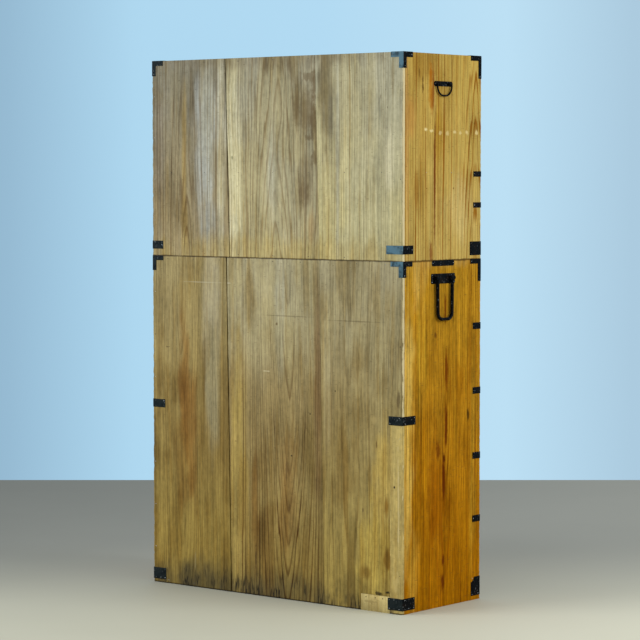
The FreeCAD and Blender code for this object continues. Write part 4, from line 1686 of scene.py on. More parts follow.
@dataclass
class EndFittings:
    """What is on the two ends of the chest: plates, knuckles, posts, and the handles that swing.

    pole and side are where the handles' pivots are, along Y and Z. The last four fields are
    rings, each a distance and a share of the radius: from the ends of a pin and of a barrel, and
    from the foot and from the nose of a post.
    """

    finish: IronFinish
    pole_handle: BentBar = BentBar(
        span=0.078, drop=0.1304, rod=0.0056, corner=0.022, standoff=0.0086, draw_in=0.05, thin=0.86
    )
    side_bail: BentBar = BentBar(
        span=0.076, drop=0.037, rod=0.00275, corner=0.031, standoff=0.006, turn=0.0055, pin=0.0105,
        thin=0.94,
    )
    pole: Span = (-0.002, 1.050)
    side: Span = (-0.001, 1.662)
    plates: Tuple[Plate, ...] = (
        Plate(Section.LOWER, "edge_guard", (-0.002, 1.097), (0.117, 0.018), 0.004),
        Plate(Section.LOWER, "pole_plate", (-0.002, 1.048), (0.126, 0.032), 0.003),
        Plate(Section.UPPER, "bail_plate", (-0.001, 1.662), (0.098, 0.016), 0.005),
    )
    plate_rim: float = 0.0012
    plate_edge: float = 0.0003
    barrel_radius: float = 0.0066
    barrel_length: float = 0.012
    ear_thick: float = 0.004
    ear_gap: float = 0.0004
    ear_edge: float = 0.0005
    pin_radius: float = 0.003
    pin_past: float = 0.0005
    post_radius: float = 0.005
    post_spread: float = 0.027
    post_nose: float = 0.004
    pin_rings: Tuple[Span, ...] = ((0.0, 0.8), (0.0005, 1.25), (0.0006, 1.0))
    barrel_rings: Tuple[Span, ...] = ((0.0, 0.86), (0.0009, 1.0))
    foot_rings: Tuple[Span, ...] = ((CHEST.iron, 1.05), (0.0020, 1.12), (0.0028, 0.86))
    nose_rings: Tuple[Span, ...] = ((0.0028, 0.84), (0.0014, 0.80), (0.0004, 0.52), (0.0, 0.14))

    def build(self) -> None:
        """Build and dress the fittings of both ends."""
        for hand in Hand:
            for plate in self.plates:
                self.plate(hand, plate)
            self.knuckles(hand)
            self.posts(hand)
            self.handle(hand)
            self.bail(hand)

    def _dress(self, piece: Thing, section: Section) -> None:
        """Finish one fitting that stays on its case."""
        node = f"{section.word}_ironwork"
        hand_over(piece, section.value, Slot.IRON, self.finish, [node])

    def plate(self, hand: Hand, plate: Plate) -> None:
        """Make a flat plate with clipped corners and hammered edges.

        Args:
            hand: The side.
            plate: The plate's sizes.
        """
        x = hand.value * CHEST.half
        (y, z), (long, high) = plate.middle, (size / 2 for size in plate.size)
        low_x, high_x = sorted((x, x + hand.value * CHEST.iron))
        low, top = (low_x, y - long, z - high), (high_x, y + long, z + high)
        sheet = block(f"{plate.section.word}_{hand.word}_{plate.part}", low, top)
        mid = (low_x + high_x) / 2
        with editing(sheet):
            pick(
                sheet, "EDGE",
                lambda point: at(abs(point.y - y), long) and at(abs(point.z - z), high),
            )
            bpy.ops.mesh.bevel(offset=plate.corner, segments=1, affect="EDGES")
            pick(sheet, "FACE", lambda point: (point.x - mid) * hand.value > TOUCH)
            bpy.ops.mesh.inset(thickness=self.plate_rim, depth=0.0)
        soften(sheet, self.plate_edge, angle=50.0)
        self._dress(sheet, plate.section)

    def _ear(self, middle: float) -> Thing:
        """Make one ear of a knuckle.

        Args:
            middle: Its middle along the pin.

        Returns:
            The ear.
        """
        wide, half = self.barrel_radius, self.ear_thick / 2
        front = -wide - self.pole_handle.standoff
        low, high = (middle - half, front, -wide), (middle + half, -CHEST.iron, wide)
        ear = block("ear", low, high)
        with editing(ear):
            pick(ear, "EDGE", lambda point: at(point.y, front) and at(abs(point.z), wide))
            bpy.ops.mesh.bevel(offset=wide * 0.98, segments=7, affect="EDGES")
        soften(ear, self.ear_edge)
        return ear

    def knuckles(self, hand: Hand) -> None:
        """Make the two hinges of the pole handle: ears on the plate, and a pin through them.

        Args:
            hand: The side.
        """
        handle, inner = self.pole_handle, self.barrel_length / 2 + self.ear_gap
        pin = Turning.twin(inner + self.ear_thick + self.pin_past, self.pin_radius, self.pin_rings)
        for index, side in enumerate((-1, 1)):
            parts = [self._ear(near * (inner + self.ear_thick / 2)) for near in (-1, 1)]
            rod = pin.make("pin")
            parts.append(point_out(rod, (0.0, -handle.standoff, 0.0), (1.0, 0.0, 0.0)))
            knuckle = joined(f"{hand.word}_pole_knuckle_{index + 1}", parts)
            y = self.pole[0] + side * handle.span / 2
            place_at(knuckle, (hand.value * CHEST.half, y, self.pole[1]), hand.value)
            self._dress(knuckle, Section.LOWER)

    def posts(self, hand: Hand) -> None:
        """Make the two posts that the side bail hangs in.

        Args:
            hand: The side.
        """
        reach = self.side_bail.standoff + self.post_nose
        profile = Turning.post(reach, self.post_radius, self.foot_rings, self.nose_rings)
        for index, side in enumerate((-1, 1)):
            post = profile.make(f"{hand.word}_side_post_{index + 1}")
            y = self.side[0] + side * self.post_spread
            place = (hand.value * CHEST.half, y, self.side[1])
            self._dress(point_out(post, place, (hand.value, 0.0, 0.0)), Section.UPPER)

    def _swing(self, handle: Thing, hand: Hand, name: str, pivot: Span) -> None:
        """Hang a handle by its pivot, along Y and Z, on the body of its own that swings."""
        place_at(handle, (hand.value * CHEST.half, *pivot), hand.value)
        hand_over(handle, name, Slot.IRON, self.finish, [name])

    def handle(self, hand: Hand) -> None:
        """Forge the long handle that a carrying pole goes through.

        Args:
            hand: The side.
        """
        name, bar = f"{hand.word}_pole_handle", self.pole_handle
        parts = [bar.make(name + "_bar")]
        barrel = Turning.twin(
            self.barrel_length / 2, self.barrel_radius, self.barrel_rings, sides=24
        )
        for side in (-1, 1):
            place = (side * bar.span / 2, -bar.standoff, 0.0)
            parts.append(point_out(barrel.make("barrel"), place, (1.0, 0.0, 0.0)))
        self._swing(joined(name + "_forged", parts), hand, name, self.pole)

    def bail(self, hand: Hand) -> None:
        """Bend the small bail high on an end."""
        name = f"{hand.word}_side_bail"
        self._swing(self.side_bail.make(name + "_bar"), hand, name, self.side)


# Drawers and doors


@dataclass
class BailSet:
    """The drawer handles: a bail, two posts and two washers, made once and copied.

    foot_rings and nose_rings are a post's rings from its foot and from its nose, each a distance
    and a share of its radius. washer_rings are a washer's, and its hole is hole_share of a post.
    """

    finish: IronFinish
    bail: BentBar = BentBar(
        span=0.096, drop=0.036, rod=0.003, corner=0.014, standoff=0.008, turn=0.006, pin=0.0125,
        thin=0.92,
    )
    post_radius: float = 0.0055
    post_inset: float = 0.012
    nose: float = 0.005
    foot_rings: Tuple[Span, ...] = ((CHEST.iron, 1.02), (0.0022, 1.16), (0.0032, 0.86))
    nose_rings: Tuple[Span, ...] = ((0.004, 0.84), (0.002, 0.86), (0.0006, 0.56), (0.0, 0.16))
    washer_radius: float = 0.013
    washer_rings: Tuple[Span, ...] = (
        (0.0, 1.0), (0.0006, 1.0), (0.0010, 0.93), (0.00075, 0.80), (0.0012, 0.62)
    )
    hole_share: float = 0.8

    def __post_init__(self) -> None:
        """Make the patterns."""
        reach = self.bail.standoff + self.nose
        post = Turning.post(reach, self.post_radius, self.foot_rings, self.nose_rings)
        disc = [(height, self.washer_radius * share) for height, share in self.washer_rings]
        washer = Turning((*disc, (CHEST.iron, self.post_radius * self.hole_share)), sides=32)
        self.bail_pattern = self.bail.make("bail_pattern")
        self.fixed = {"post": post.make("post_pattern"), "washer": washer.make("washer_pattern")}

    def hang(self, name: str, x: float, pivot: float) -> List[Thing]:
        """Hang one handle on a drawer.

        Args:
            name: The handle's name.
            x: Its middle.
            pivot: The height of its pivots.

        Returns:
            Its posts and washers, not yet dressed.
        """
        bar = copy_of(self.bail_pattern, name + "_bar")
        place_at(bar, (x, -CHEST.face, pivot))
        hand_over(bar, name, Slot.IRON, self.finish, [name])
        fixed = []
        for side in (-1, 1):
            place = (x + side * (self.bail.span / 2 - self.post_inset), -CHEST.face, pivot)
            for part, pattern in self.fixed.items():
                copy = copy_of(pattern, f"{name}_{part}")
                fixed.append(point_out(copy, place, (0.0, -1.0, 0.0)))
        return fixed

    def clear(self) -> None:
        """Take the patterns off the bench."""
        for pattern in (self.bail_pattern, *self.fixed.values()):
            bpy.data.objects.remove(pattern)


@dataclass
class Drawer:
    """A drawer: its front, its box, its handles and their fittings.

    lip is how wide the worn edge round the front's face is, and fall how far it lies back.
    """

    name: str
    front_finish: WoodFinish
    box_finish: WoodFinish
    bails: BailSet
    places: Dict[str, float]
    lip: float = 0.0012
    fall: float = 0.0009
    arris: float = 0.0005

    def build(self) -> None:
        """Build and dress the drawer."""
        node = f"{self.name}_front"
        low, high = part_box(node)
        front = block(f"{node}_board", low, high)
        near = self.lip / 2

        def on_face(point: Vector) -> bool:
            """Whether a point is on the front's face."""
            return at(point.y, low.y)

        def on_rim(point: Vector) -> bool:
            """Whether a point is on the rim of the front's face."""
            inside = all(low[axis] + near < point[axis] < high[axis] - near for axis in (0, 2))
            return on_face(point) and not inside

        with editing(front):
            pick(front, "FACE", on_face)
            bpy.ops.mesh.inset(thickness=self.lip, depth=0.0)
            pick(front, "EDGE", on_rim)
            bpy.ops.transform.translate(value=(0.0, self.fall, 0.0))
        soften(front, self.arris)
        hand_over(front, self.name, Slot.FRONT, self.front_finish, [node])
        carry_over(f"{self.name}_box", self.box_finish)
        self.hang_bails()

    def hang_bails(self) -> None:
        """Hang the drawer's handles, and join what stays on the front into one piece."""
        fixed = []
        for side, x in self.places.items():
            label = f"{self.name}_{side}_bail" if side else f"{self.name}_bail"
            _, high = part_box(label)
            fixed += self.bails.hang(label, x, high.z - self.bails.bail.rod)
        fittings = joined(f"{self.name}_posts_and_washers", fixed)
        hand_over(fittings, self.name, Slot.IRON, self.bails.finish, [f"{self.name}_fittings"])


@dataclass
class SlidingDoor:
    """A framed door: stiles, rails shouldered between them, a panel and a dished pull.

    shoulder is how far a rail lies behind the stiles, and deep how deep the pull's hole is.
    """

    hand: Hand
    stile_finish: WoodFinish
    rail_finish: WoodFinish
    panel_finish: WoodFinish
    iron: IronFinish
    stile: float = 0.036
    rail: float = 0.040
    shoulder: float = 0.0004
    arris: float = 0.0007
    pull_radius: float = 0.016
    cup_radius: float = 0.0115
    deep: float = 0.0047

    def build(self) -> None:
        """Build and dress the door."""
        name = f"{self.hand.word}_door"
        low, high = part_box(f"{name}_frame")
        pull_low, pull_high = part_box(f"{name}_pull")
        pull = (pull_low + pull_high) / 2
        pull.y = low.y
        stiles = []
        for start in (low.x, high.x - self.stile):
            end = start + self.stile
            stile = block("stile", (start, low.y, low.z), (end, high.y, high.z))
            if start < pull.x < end:
                rings = ((-0.01, self.cup_radius), (self.deep, self.cup_radius))
                hole = Turning(rings, sides=40).make("cutter")
                cut_out(stile, point_out(hole, pull, (0.0, 1.0, 0.0)))
            stiles.append(stile)
        self._pair("stiles", stiles, self.stile_finish)
        left, right = low.x + self.stile, high.x - self.stile
        front, back = low.y + self.shoulder, high.y - self.shoulder
        rails = [
            block("rail", (left, front, start), (right, back, start + self.rail))
            for start in (low.z, high.z - self.rail)
        ]
        self._pair("rails", rails, self.rail_finish)
        carry_over(f"{name}_panel", self.panel_finish)
        self.pull(name, pull)

    def _pair(self, part: str, pieces: Sequence[Thing], finish: WoodFinish) -> None:
        """Round the edges of a pair of the frame's pieces, and dress them as one.

        Args:
            part: What they are called.
            pieces: The pieces.
            finish: Their finish.
        """
        name = f"{self.hand.word}_door"
        for piece in pieces:
            soften(piece, self.arris)
        whole = joined(f"{name}_{part}", pieces)
        hand_over(whole, name, Slot.DOOR, finish, [f"{name}_frame"])

    def pull(self, name: str, place: Vector) -> None:
        """Turn the finger pull: a thin flange with a dish in its middle.

        Args:
            name: The door's name.
            place: The middle of the pull on the door's front face.
        """
        wide, cup = self.pull_radius, self.cup_radius
        outside = ((-self.deep, cup * 0.9), (-0.0040, cup), (0.0, cup), (0.0001, wide))
        flange = ((0.0007, wide), (0.0012, wide * 0.93), (0.0011, cup * 0.98))
        inside = ((0.0002, 0.88), (-0.0020, 0.76), (-0.0032, 0.5), (-0.0035, 0.2))
        bowl = ((height, cup * share) for height, share in inside)
        dish = Turning((*outside, *flange, *bowl), sides=40).make(f"{name}_dished_pull")
        point_out(dish, place, (0.0, -1.0, 0.0))
        hand_over(dish, name, Slot.IRON, self.iron, [f"{name}_pull"])


# The studio


@dataclass(frozen=True)
class Lamp:
    """A soft square lamp that looks at a point."""

    name: str
    place: Point
    target: Point
    size: Span
    radiance: float

    def light(self) -> None:
        """Hang the lamp."""
        data = bpy.data.lights.new(self.name, "AREA")
        data.shape = "RECTANGLE"
        data.size, data.size_y = self.size
        data.energy = self.radiance * math.pi * self.size[0] * self.size[1]
        lamp = bpy.data.objects.new(self.name, data)
        bpy.context.scene.collection.objects.link(lamp)
        lamp.location = self.place
        way = Vector(self.target) - Vector(self.place)
        lamp.rotation_euler = way.to_track_quat("-Z", "Y").to_euler()


@dataclass(frozen=True)
class FloorFinish:
    """A plain, pale, slightly mottled floor, paler near the eye and to one side.

    The paler parts are painted light.
    """

    name: str = "pale_floor"
    near: Colour = tone(206, 206, 187)
    far: Colour = tone(160, 161, 152)
    fall: Span = (-0.9, 1.2)
    slope: float = 0.16
    mottle: float = 0.10
    reach: float = 3.05

    def build(self) -> Material:
        """Build the material.

        Returns:
            The floor's material.
        """
        graph = Graph(self.name)
        place = graph.place()
        cloud = graph.noise(place, (1.6, 1.6, 1.6), 3.0, 3.0)
        side, away = graph.split(place)[:2]
        # Painted light: paler near the eye, and brighter towards one side by the slope.
        colour = graph.mix(graph.spread(away, *self.fall), self.near, self.far)
        shade = graph.fused(graph.less(cloud, 0.5), self.mottle, 1.0)
        shade = graph.fused(side, self.slope, shade)
        return graph.surface(
            base_color=graph.tint(colour, graph.join(shade, shade, shade)), roughness=0.7,
            specular_ior_level=0.2,
        )


@dataclass
class Studio:
    """A pale floor, soft lamps, a pale blue surround and the camera.

    azimuth and pitch are the angles of the view in degrees. wall holds the surround's tones from
    one side of the view to the other, each with its place.
    """

    azimuth: float = 219.3256
    pitch: float = 3.2252
    lens: float = 142.37
    place: Point = (-5.3066, 6.4426, 1.3676)
    ambient: float = 0.50
    wall: Tuple[Tuple[float, Colour], ...] = (
        (0.402, tone(172, 203, 223)), (0.442, tone(189, 224, 244)), (0.500, tone(178, 218, 242)),
        (0.557, tone(175, 216, 240)), (0.600, tone(149, 185, 209)),
    )
    wall_slope: Span = (0.8, 0.5)
    lamps: Tuple[Lamp, ...] = (
        Lamp("key", (1.48, 2.95, 1.95), (-0.15, 0.2, 0.9), (2.0, 2.3), 5.0),
        Lamp("side_fill", (-3.6, -0.6, 2.6), (-0.53, 0.0, 0.8), (2.0, 1.6), 6.0),
    )

    def build(self) -> None:
        """Set everything up."""
        self.floor()
        self.surround()
        for lamp in self.lamps:
            lamp.light()
        self.camera()
        bpy.context.scene.view_settings.view_transform = "Standard"

    def floor(self) -> None:
        """Lay the floor, square to the view."""
        finish = FloorFinish()
        let_go()
        bpy.ops.mesh.primitive_plane_add(size=2 * finish.reach)
        floor = bpy.context.object
        floor.name = "floor"
        floor.data.materials.append(finish.build())
        floor.rotation_euler = (0.0, 0.0, math.radians(self.azimuth))

    def surround(self) -> None:
        """Light the object evenly, and show the eye and every mirror a pale blue wall."""
        world = bpy.data.worlds.new("surround")
        bpy.context.scene.world = world
        world.use_nodes = True
        tree = Tree(world.node_tree)
        turn = math.radians(self.azimuth)
        way = tree.add("TexCoord", "Generated", {})
        level = (-math.cos(turn), -math.sin(turn), 0.0)
        across = tree.vector("DOT_PRODUCT", way, level, output="Value")
        ramp = tree.nodes.new("ShaderNodeValToRGB")
        stops = ramp.color_ramp.elements
        while len(stops) < len(self.wall):
            stops.new(0.5)
        for stop, (position, colour) in zip(stops, self.wall):
            stop.position, stop.color = position, (*colour, 1.0)
        tree.feed(ramp.inputs["Fac"], tree.fused(across, *self.wall_slope))
        rays = tree.nodes.new("ShaderNodeLightPath").outputs
        seen = rays["Is Camera Ray"]
        for word in ("Is Glossy Ray", "Is Transmission Ray"):
            seen = tree.calc("MAXIMUM", seen, rays[word])
        even = tree.add("Background", 0, {"Color": (1.0, 1.0, 1.0), "Strength": self.ambient})
        wall = tree.add("Background", 0, {"Color": ramp.outputs["Color"]})
        blend = tree.add("MixShader", 0, {0: seen, 1: even, 2: wall})
        tree.feed(tree.nodes.new("ShaderNodeOutputWorld").inputs["Surface"], blend)

    def camera(self) -> None:
        """Set the camera where the eye is."""
        data = bpy.data.cameras.new("eye")
        data.lens = self.lens
        data.sensor_width = 36.0
        data.clip_end = 100.0
        camera = bpy.data.objects.new("eye", data)
        bpy.context.scene.collection.objects.link(camera)
        turn, drop = math.radians(self.azimuth), math.radians(self.pitch)
        level = math.cos(drop)
        back = Vector((math.sin(turn) * level, -math.cos(turn) * level, math.sin(drop)))
        camera.location = self.place
        camera.rotation_mode = "QUATERNION"
        camera.rotation_quaternion = (-back).to_track_quat("-Z", "Y")
        bpy.context.scene.camera = camera


# The woods of this chest

LOWER_REACH = (0.0, CHEST.lower_height)
UPPER_REACH = (CHEST.lower_height, CHEST.full_height)
WIDE_REACH = (-CHEST.half, CHEST.half)
DOOR_REACH = (1.38, 1.74)
BOX_REACH = (-0.21, 0.2)
ALL = 0.7
BACK_CORNER = (-CHEST.half, CHEST.face)
SIDE_CORNER = (0.197, -CHEST.half)
# Painted shadow along the joint between the cases, across the head of the lower back boards.
# JOINT_SHADE below is painted shade along the same joint.
JOINT_PAINTED_SHADOW = Mark(0.0, 1.108, 2.5, 0.0065, (46, 38, 26), 0.9, 0.15)
JOINT_SHADE = Mark(0.0, 1.1052, 2.5, 0.0045, (70, 48, 22), 0.75, 0.4)

LOWER_BACK_1 = WoodFinish(
    "lower_back_wood_1", Grain.BACK, (153, 143, 107), (157, 136, 72), LOWER_REACH,
    pith=(-0.32, 0.14), lean=0.02, seed=11.0, late=(0.46, 0.38, 0.24), damp=0.075,
    worn=(*BACK_CORNER, 0.0040, 0.62), weather=(0.0, 0.55), line=0.75, fade=0.6, warp=0.014,
    bands=(
        Mark(0.0, 0.62, ALL, 0.34, (126, 102, 50), 0.42),
        Mark(-0.230, 0.80, 0.030, 0.35, (170, 158, 118), 0.6),
        Mark(-0.448, 0.42, 0.052, 0.28, (188, 162, 88), 0.95, 0.6),
        Mark(-0.415, 0.14, 0.080, 0.22, (188, 164, 84), 0.90, 0.9),
        Mark(-0.465, 0.339, 0.018, 0.045, (136, 100, 34), 0.8, 0.8),
        Mark(-0.380, 0.121, 0.026, 0.030, (134, 104, 42), 0.8, 0.8),
        Mark(-0.468, 0.165, 0.016, 0.036, (138, 102, 36), 0.8, 0.8),
        Mark(-0.30, 0.44, 0.060, 0.20, (128, 104, 52), 0.6, 0.6),
        Mark(-0.34, 0.06, 0.10, 0.06, (124, 108, 60), 0.5, 0.8),
    ),
    marks=(
        JOINT_PAINTED_SHADOW,
        Mark(-0.4945, 0.402, 0.004, 0.006, (24, 18, 12), 1.0, 0.1),
        Mark(-0.33, 0.914, 0.150, 0.0030, (84, 72, 50), 0.45),
        Mark(-0.259, 0.689, 0.004, 0.004, (36, 30, 20), 0.9, 0.1),
        Mark(-0.47, 0.065, 0.014, 0.006, (24, 20, 14), 0.9, 0.8),
        Mark(-0.44, 0.060, 0.022, 0.008, (30, 24, 16), 0.8, 0.9),
        Mark(-0.425, 0.53, 0.004, 0.016, (84, 60, 30), 0.7),
        Mark(-0.37, 0.318, 0.004, 0.010, (80, 62, 40), 0.7),
        Mark(-0.515, 0.672, 0.008, 0.050, (70, 52, 34), 0.6),
        Mark(-0.415, 0.606, 0.022, 0.020, (184, 164, 108), 0.5, 0.6),
    ),
)
LOWER_BACK_2 = WoodFinish(
    "lower_back_wood_2", Grain.BACK, (162, 152, 114), (142, 120, 62), LOWER_REACH,
    pith=(-0.066, 0.186), taper=-0.125, flare=0.16, seed=23.0, damp=0.085, ring=0.0145,
    late=(0.26, 0.15, 0.06), sway=0.03, warp=0.014,
    line=1.25, fade=0.25, weather=(0.0, 0.65),
    bands=(
        Mark(0.0, 0.02, ALL, 0.10, (104, 92, 56), 0.55, 0.6),
        Mark(0.0, 0.58, ALL, 0.34, (124, 98, 50), 0.36),
        Mark(-0.06, 0.32, 0.055, 0.24, (146, 112, 58), 0.5, 0.5),
        Mark(0.15, 0.35, 0.050, 0.70, (164, 142, 78), 0.9),
        Mark(0.10, 0.97, 0.042, 0.16, (144, 126, 78), 0.6, 0.6),
        Mark(0.08, 0.30, 0.022, 0.26, (122, 88, 36), 0.7),
        Mark(0.03, 0.15, 0.050, 0.20, (112, 84, 36), 0.65, 0.6),
        Mark(-0.03, 0.96, 0.030, 0.30, (174, 168, 136), 0.75),
        Mark(-0.15, 0.40, 0.028, 0.35, (134, 118, 72), 0.6),
        Mark(-0.188, 0.72, 0.022, 0.48, (114, 88, 52), 0.75, 0.3),
    ),
    marks=(
        JOINT_PAINTED_SHADOW,
        Mark(0.193, 1.021, 0.012, 0.0020, (204, 196, 170), 0.6),
        Mark(-0.06, 0.921, 0.140, 0.0028, (84, 72, 50), 0.40),
        Mark(0.030, 0.739, 0.020, 0.0022, (206, 196, 160), 0.7, 0.6),
        Mark(-0.017, 0.894, 0.006, 0.007, (96, 76, 44), 0.8, 0.2),
        Mark(-0.152, 0.610, 0.004, 0.004, (36, 30, 20), 0.9, 0.1),
        Mark(-0.055, 0.42, 0.005, 0.045, (84, 60, 36), 0.55, 0.6),
        Mark(-0.075, 0.47, 0.005, 0.004, (40, 30, 20), 0.9, 0.2),
        Mark(0.160, 0.502, 0.006, 0.002, (60, 44, 30), 0.8),
        Mark(0.075, 0.13, 0.004, 0.050, (52, 36, 22), 0.6, 0.6),
    ),
)
LOWER_BACK_3 = WoodFinish(
    "lower_back_wood_3", Grain.BACK, (148, 132, 86), (147, 125, 62), LOWER_REACH,
    pith=(0.405, 0.175), taper=-0.05, flare=0.12, seed=37.0, damp=0.09, sway=0.03,
    late=(0.46, 0.38, 0.24), weather=(0.0, 0.7), line=0.8, fade=0.6, warp=0.014,
    bands=(
        Mark(0.33, 0.02, 0.22, 0.11, (84, 76, 50), 0.75, 0.6),
        Mark(0.0, 0.56, ALL, 0.36, (108, 82, 34), 0.50),
        Mark(0.365, 0.50, 0.050, 0.34, (128, 88, 34), 0.55, 0.6),
        Mark(0.265, 0.97, 0.060, 0.40, (168, 158, 124), 0.9),
        Mark(0.50, 0.95, 0.045, 0.15, (124, 108, 66), 0.6),
        Mark(0.26, 0.68, 0.042, 0.32, (152, 142, 106), 0.85),
        Mark(0.385, 0.68, 0.034, 0.34, (132, 94, 40), 0.65, 0.7),
        Mark(0.40, 0.42, 0.045, 0.20, (120, 90, 38), 0.6, 0.6),
        Mark(0.50, 0.74, 0.036, 0.30, (114, 92, 46), 0.75, 0.6),
    ),
    marks=(
        JOINT_PAINTED_SHADOW,
        Mark(0.300, 1.021, 0.120, 0.0022, (190, 182, 154), 0.5),
        Mark(0.345, 0.085, 0.004, 0.050, (160, 144, 98), 0.6),
        Mark(0.46, 0.80, 0.012, 0.003, (70, 54, 34), 0.5),
    ),
)

HEAD_GRIME = Mark(0.0, 1.756, ALL, 0.050, (128, 118, 92), 0.50, 0.6)
FOOT_AMBER = Mark(0.0, 1.115, ALL, 0.085, (178, 160, 100), 0.55, 0.6)

UPPER_BACK_1 = WoodFinish(
    "upper_back_wood_1", Grain.BACK, (172, 166, 132), (190, 181, 132), UPPER_REACH,
    pith=(-0.06, 0.10), ring=0.0095, line=0.60, seed=51.0, streak=0.8, sway=0.02,
    weather=(0.6, 0.8), worn=(*BACK_CORNER, 0.0032, 0.80),
    bands=(
        Mark(-0.22, 1.64, 0.054, 0.28, (124, 116, 88), 0.90, 0.5),
        # Painted sheen: a paler patch high on the board, beside the -X edge.
        Mark(-0.48, 1.42, 0.030, 0.16, (204, 196, 156), 0.6),
        Mark(-0.265, 1.50, 0.012, ALL, (172, 170, 146), 0.7),
        Mark(-0.315, 1.50, 0.004, ALL, (144, 126, 80), 0.7, 0.1),
        HEAD_GRIME, FOOT_AMBER, JOINT_SHADE,
    ),
    marks=(
        Mark(-0.44, 1.62, 0.003, 0.012, (96, 82, 58), 0.7),
        Mark(-0.47, 1.585, 0.003, 0.006, (90, 76, 52), 0.7),
        Mark(-0.46, 1.64, 0.002, 0.005, (90, 76, 52), 0.7),
    ),
)
UPPER_BACK_2 = WoodFinish(
    "upper_back_wood_2", Grain.BACK, (156, 149, 118), (170, 160, 120), UPPER_REACH,
    pith=(-0.015, 0.185), taper=0.085, flare=0.16, ring=0.0120, line=0.7, seed=67.0,
    warp=0.022, sway=0.08, weather=(0.6, 0.8),
    bands=(
        Mark(0.165, 1.32, 0.045, 0.55, (204, 198, 158), 0.95, 0.25),
        Mark(0.005, 1.43, 0.026, 0.26, (174, 170, 142), 0.65),
        Mark(-0.13, 1.60, 0.055, 0.16, (128, 116, 84), 0.70, 0.7),
        Mark(-0.14, 1.36, 0.035, 0.12, (138, 124, 90), 0.6, 0.7),
        Mark(-0.165, 1.20, 0.020, 0.09, (164, 132, 76), 0.5),
        HEAD_GRIME, FOOT_AMBER, JOINT_SHADE,
    ),
    marks=(
        Mark(-0.155, 1.688, 0.050, 0.020, (104, 88, 60), 0.55, 1.0),
        Mark(-0.174, 1.655, 0.012, 0.070, (104, 86, 58), 0.65, 0.5),
        Mark(-0.145, 1.585, 0.060, 0.080, (116, 100, 70), 0.50, 0.6),
        Mark(-0.172, 1.55, 0.020, 0.075, (98, 80, 52), 0.60, 0.5),
        Mark(-0.160, 1.492, 0.030, 0.014, (96, 80, 52), 0.65, 0.6),
        Mark(-0.172, 1.43, 0.014, 0.034, (104, 86, 56), 0.60, 0.6),
        Mark(-0.130, 1.32, 0.022, 0.040, (112, 94, 66), 0.45, 0.8),
        Mark(0.175, 1.432, 0.006, 0.009, (126, 124, 90), 0.8, 0.3),
    ),
)
UPPER_BACK_3 = WoodFinish(
    "upper_back_wood_3", Grain.BACK, (124, 118, 96), (146, 132, 97), UPPER_REACH,
    pith=(0.375, 0.190), taper=0.05, flare=0.12, seed=83.0, sway=0.08, weather=(0.6, 0.8),
    bands=(
        Mark(0.285, 1.46, 0.055, 0.50, (166, 166, 150), 0.95, 0.6),
        Mark(0.223, 1.45, 0.028, 0.60, (188, 183, 152), 0.9),
        Mark(0.385, 1.40, 0.016, 0.40, (146, 126, 76), 0.7),
        Mark(0.50, 1.45, 0.030, 0.26, (132, 122, 102), 0.6),
        HEAD_GRIME, FOOT_AMBER, JOINT_SHADE,
    ),
)

STRIP_WOOD = WoodFinish(
    "repair_strip_wood", Grain.BACK, (186, 166, 102), (190, 168, 102), (0.0, 0.594),
    pith=(-0.60, 0.14), ring=0.0060, line=0.30, streak=0.6, mottle=1.4, seed=91.0, damp=0.05,
    worn=(*BACK_CORNER, 0.0034, 0.40),
    marks=(
        Mark(-0.496, 0.40, 0.005, 0.006, (30, 22, 14), 1.0, 0.1),
        Mark(-0.513, 0.34, 0.004, 0.20, (216, 198, 146), 0.6, 1.0),
        Mark(-0.505, 0.10, 0.016, 0.05, (206, 184, 120), 0.6, 1.0),
        Mark(-0.480, 0.15, 0.005, 0.12, (146, 118, 60), 0.6, 0.8),
    ),
)
PATCH_WOOD = WoodFinish(
    "repair_patch_wood", Grain.BACK, (206, 188, 128), (176, 160, 106), (0.0, 0.053),
    pith=(-0.42, 0.10), ring=0.0060, line=0.30, streak=0.5, mottle=1.3, seed=95.0,
    marks=(
        *(Mark(place, 0.044, 0.003, 0.003, (50, 38, 22), 0.9, 0.1)
          for place in (-0.385, -0.420, -0.448)),
        Mark(-0.40, 0.030, 0.040, 0.004, (150, 132, 84), 0.6, 0.9),
    ),
)

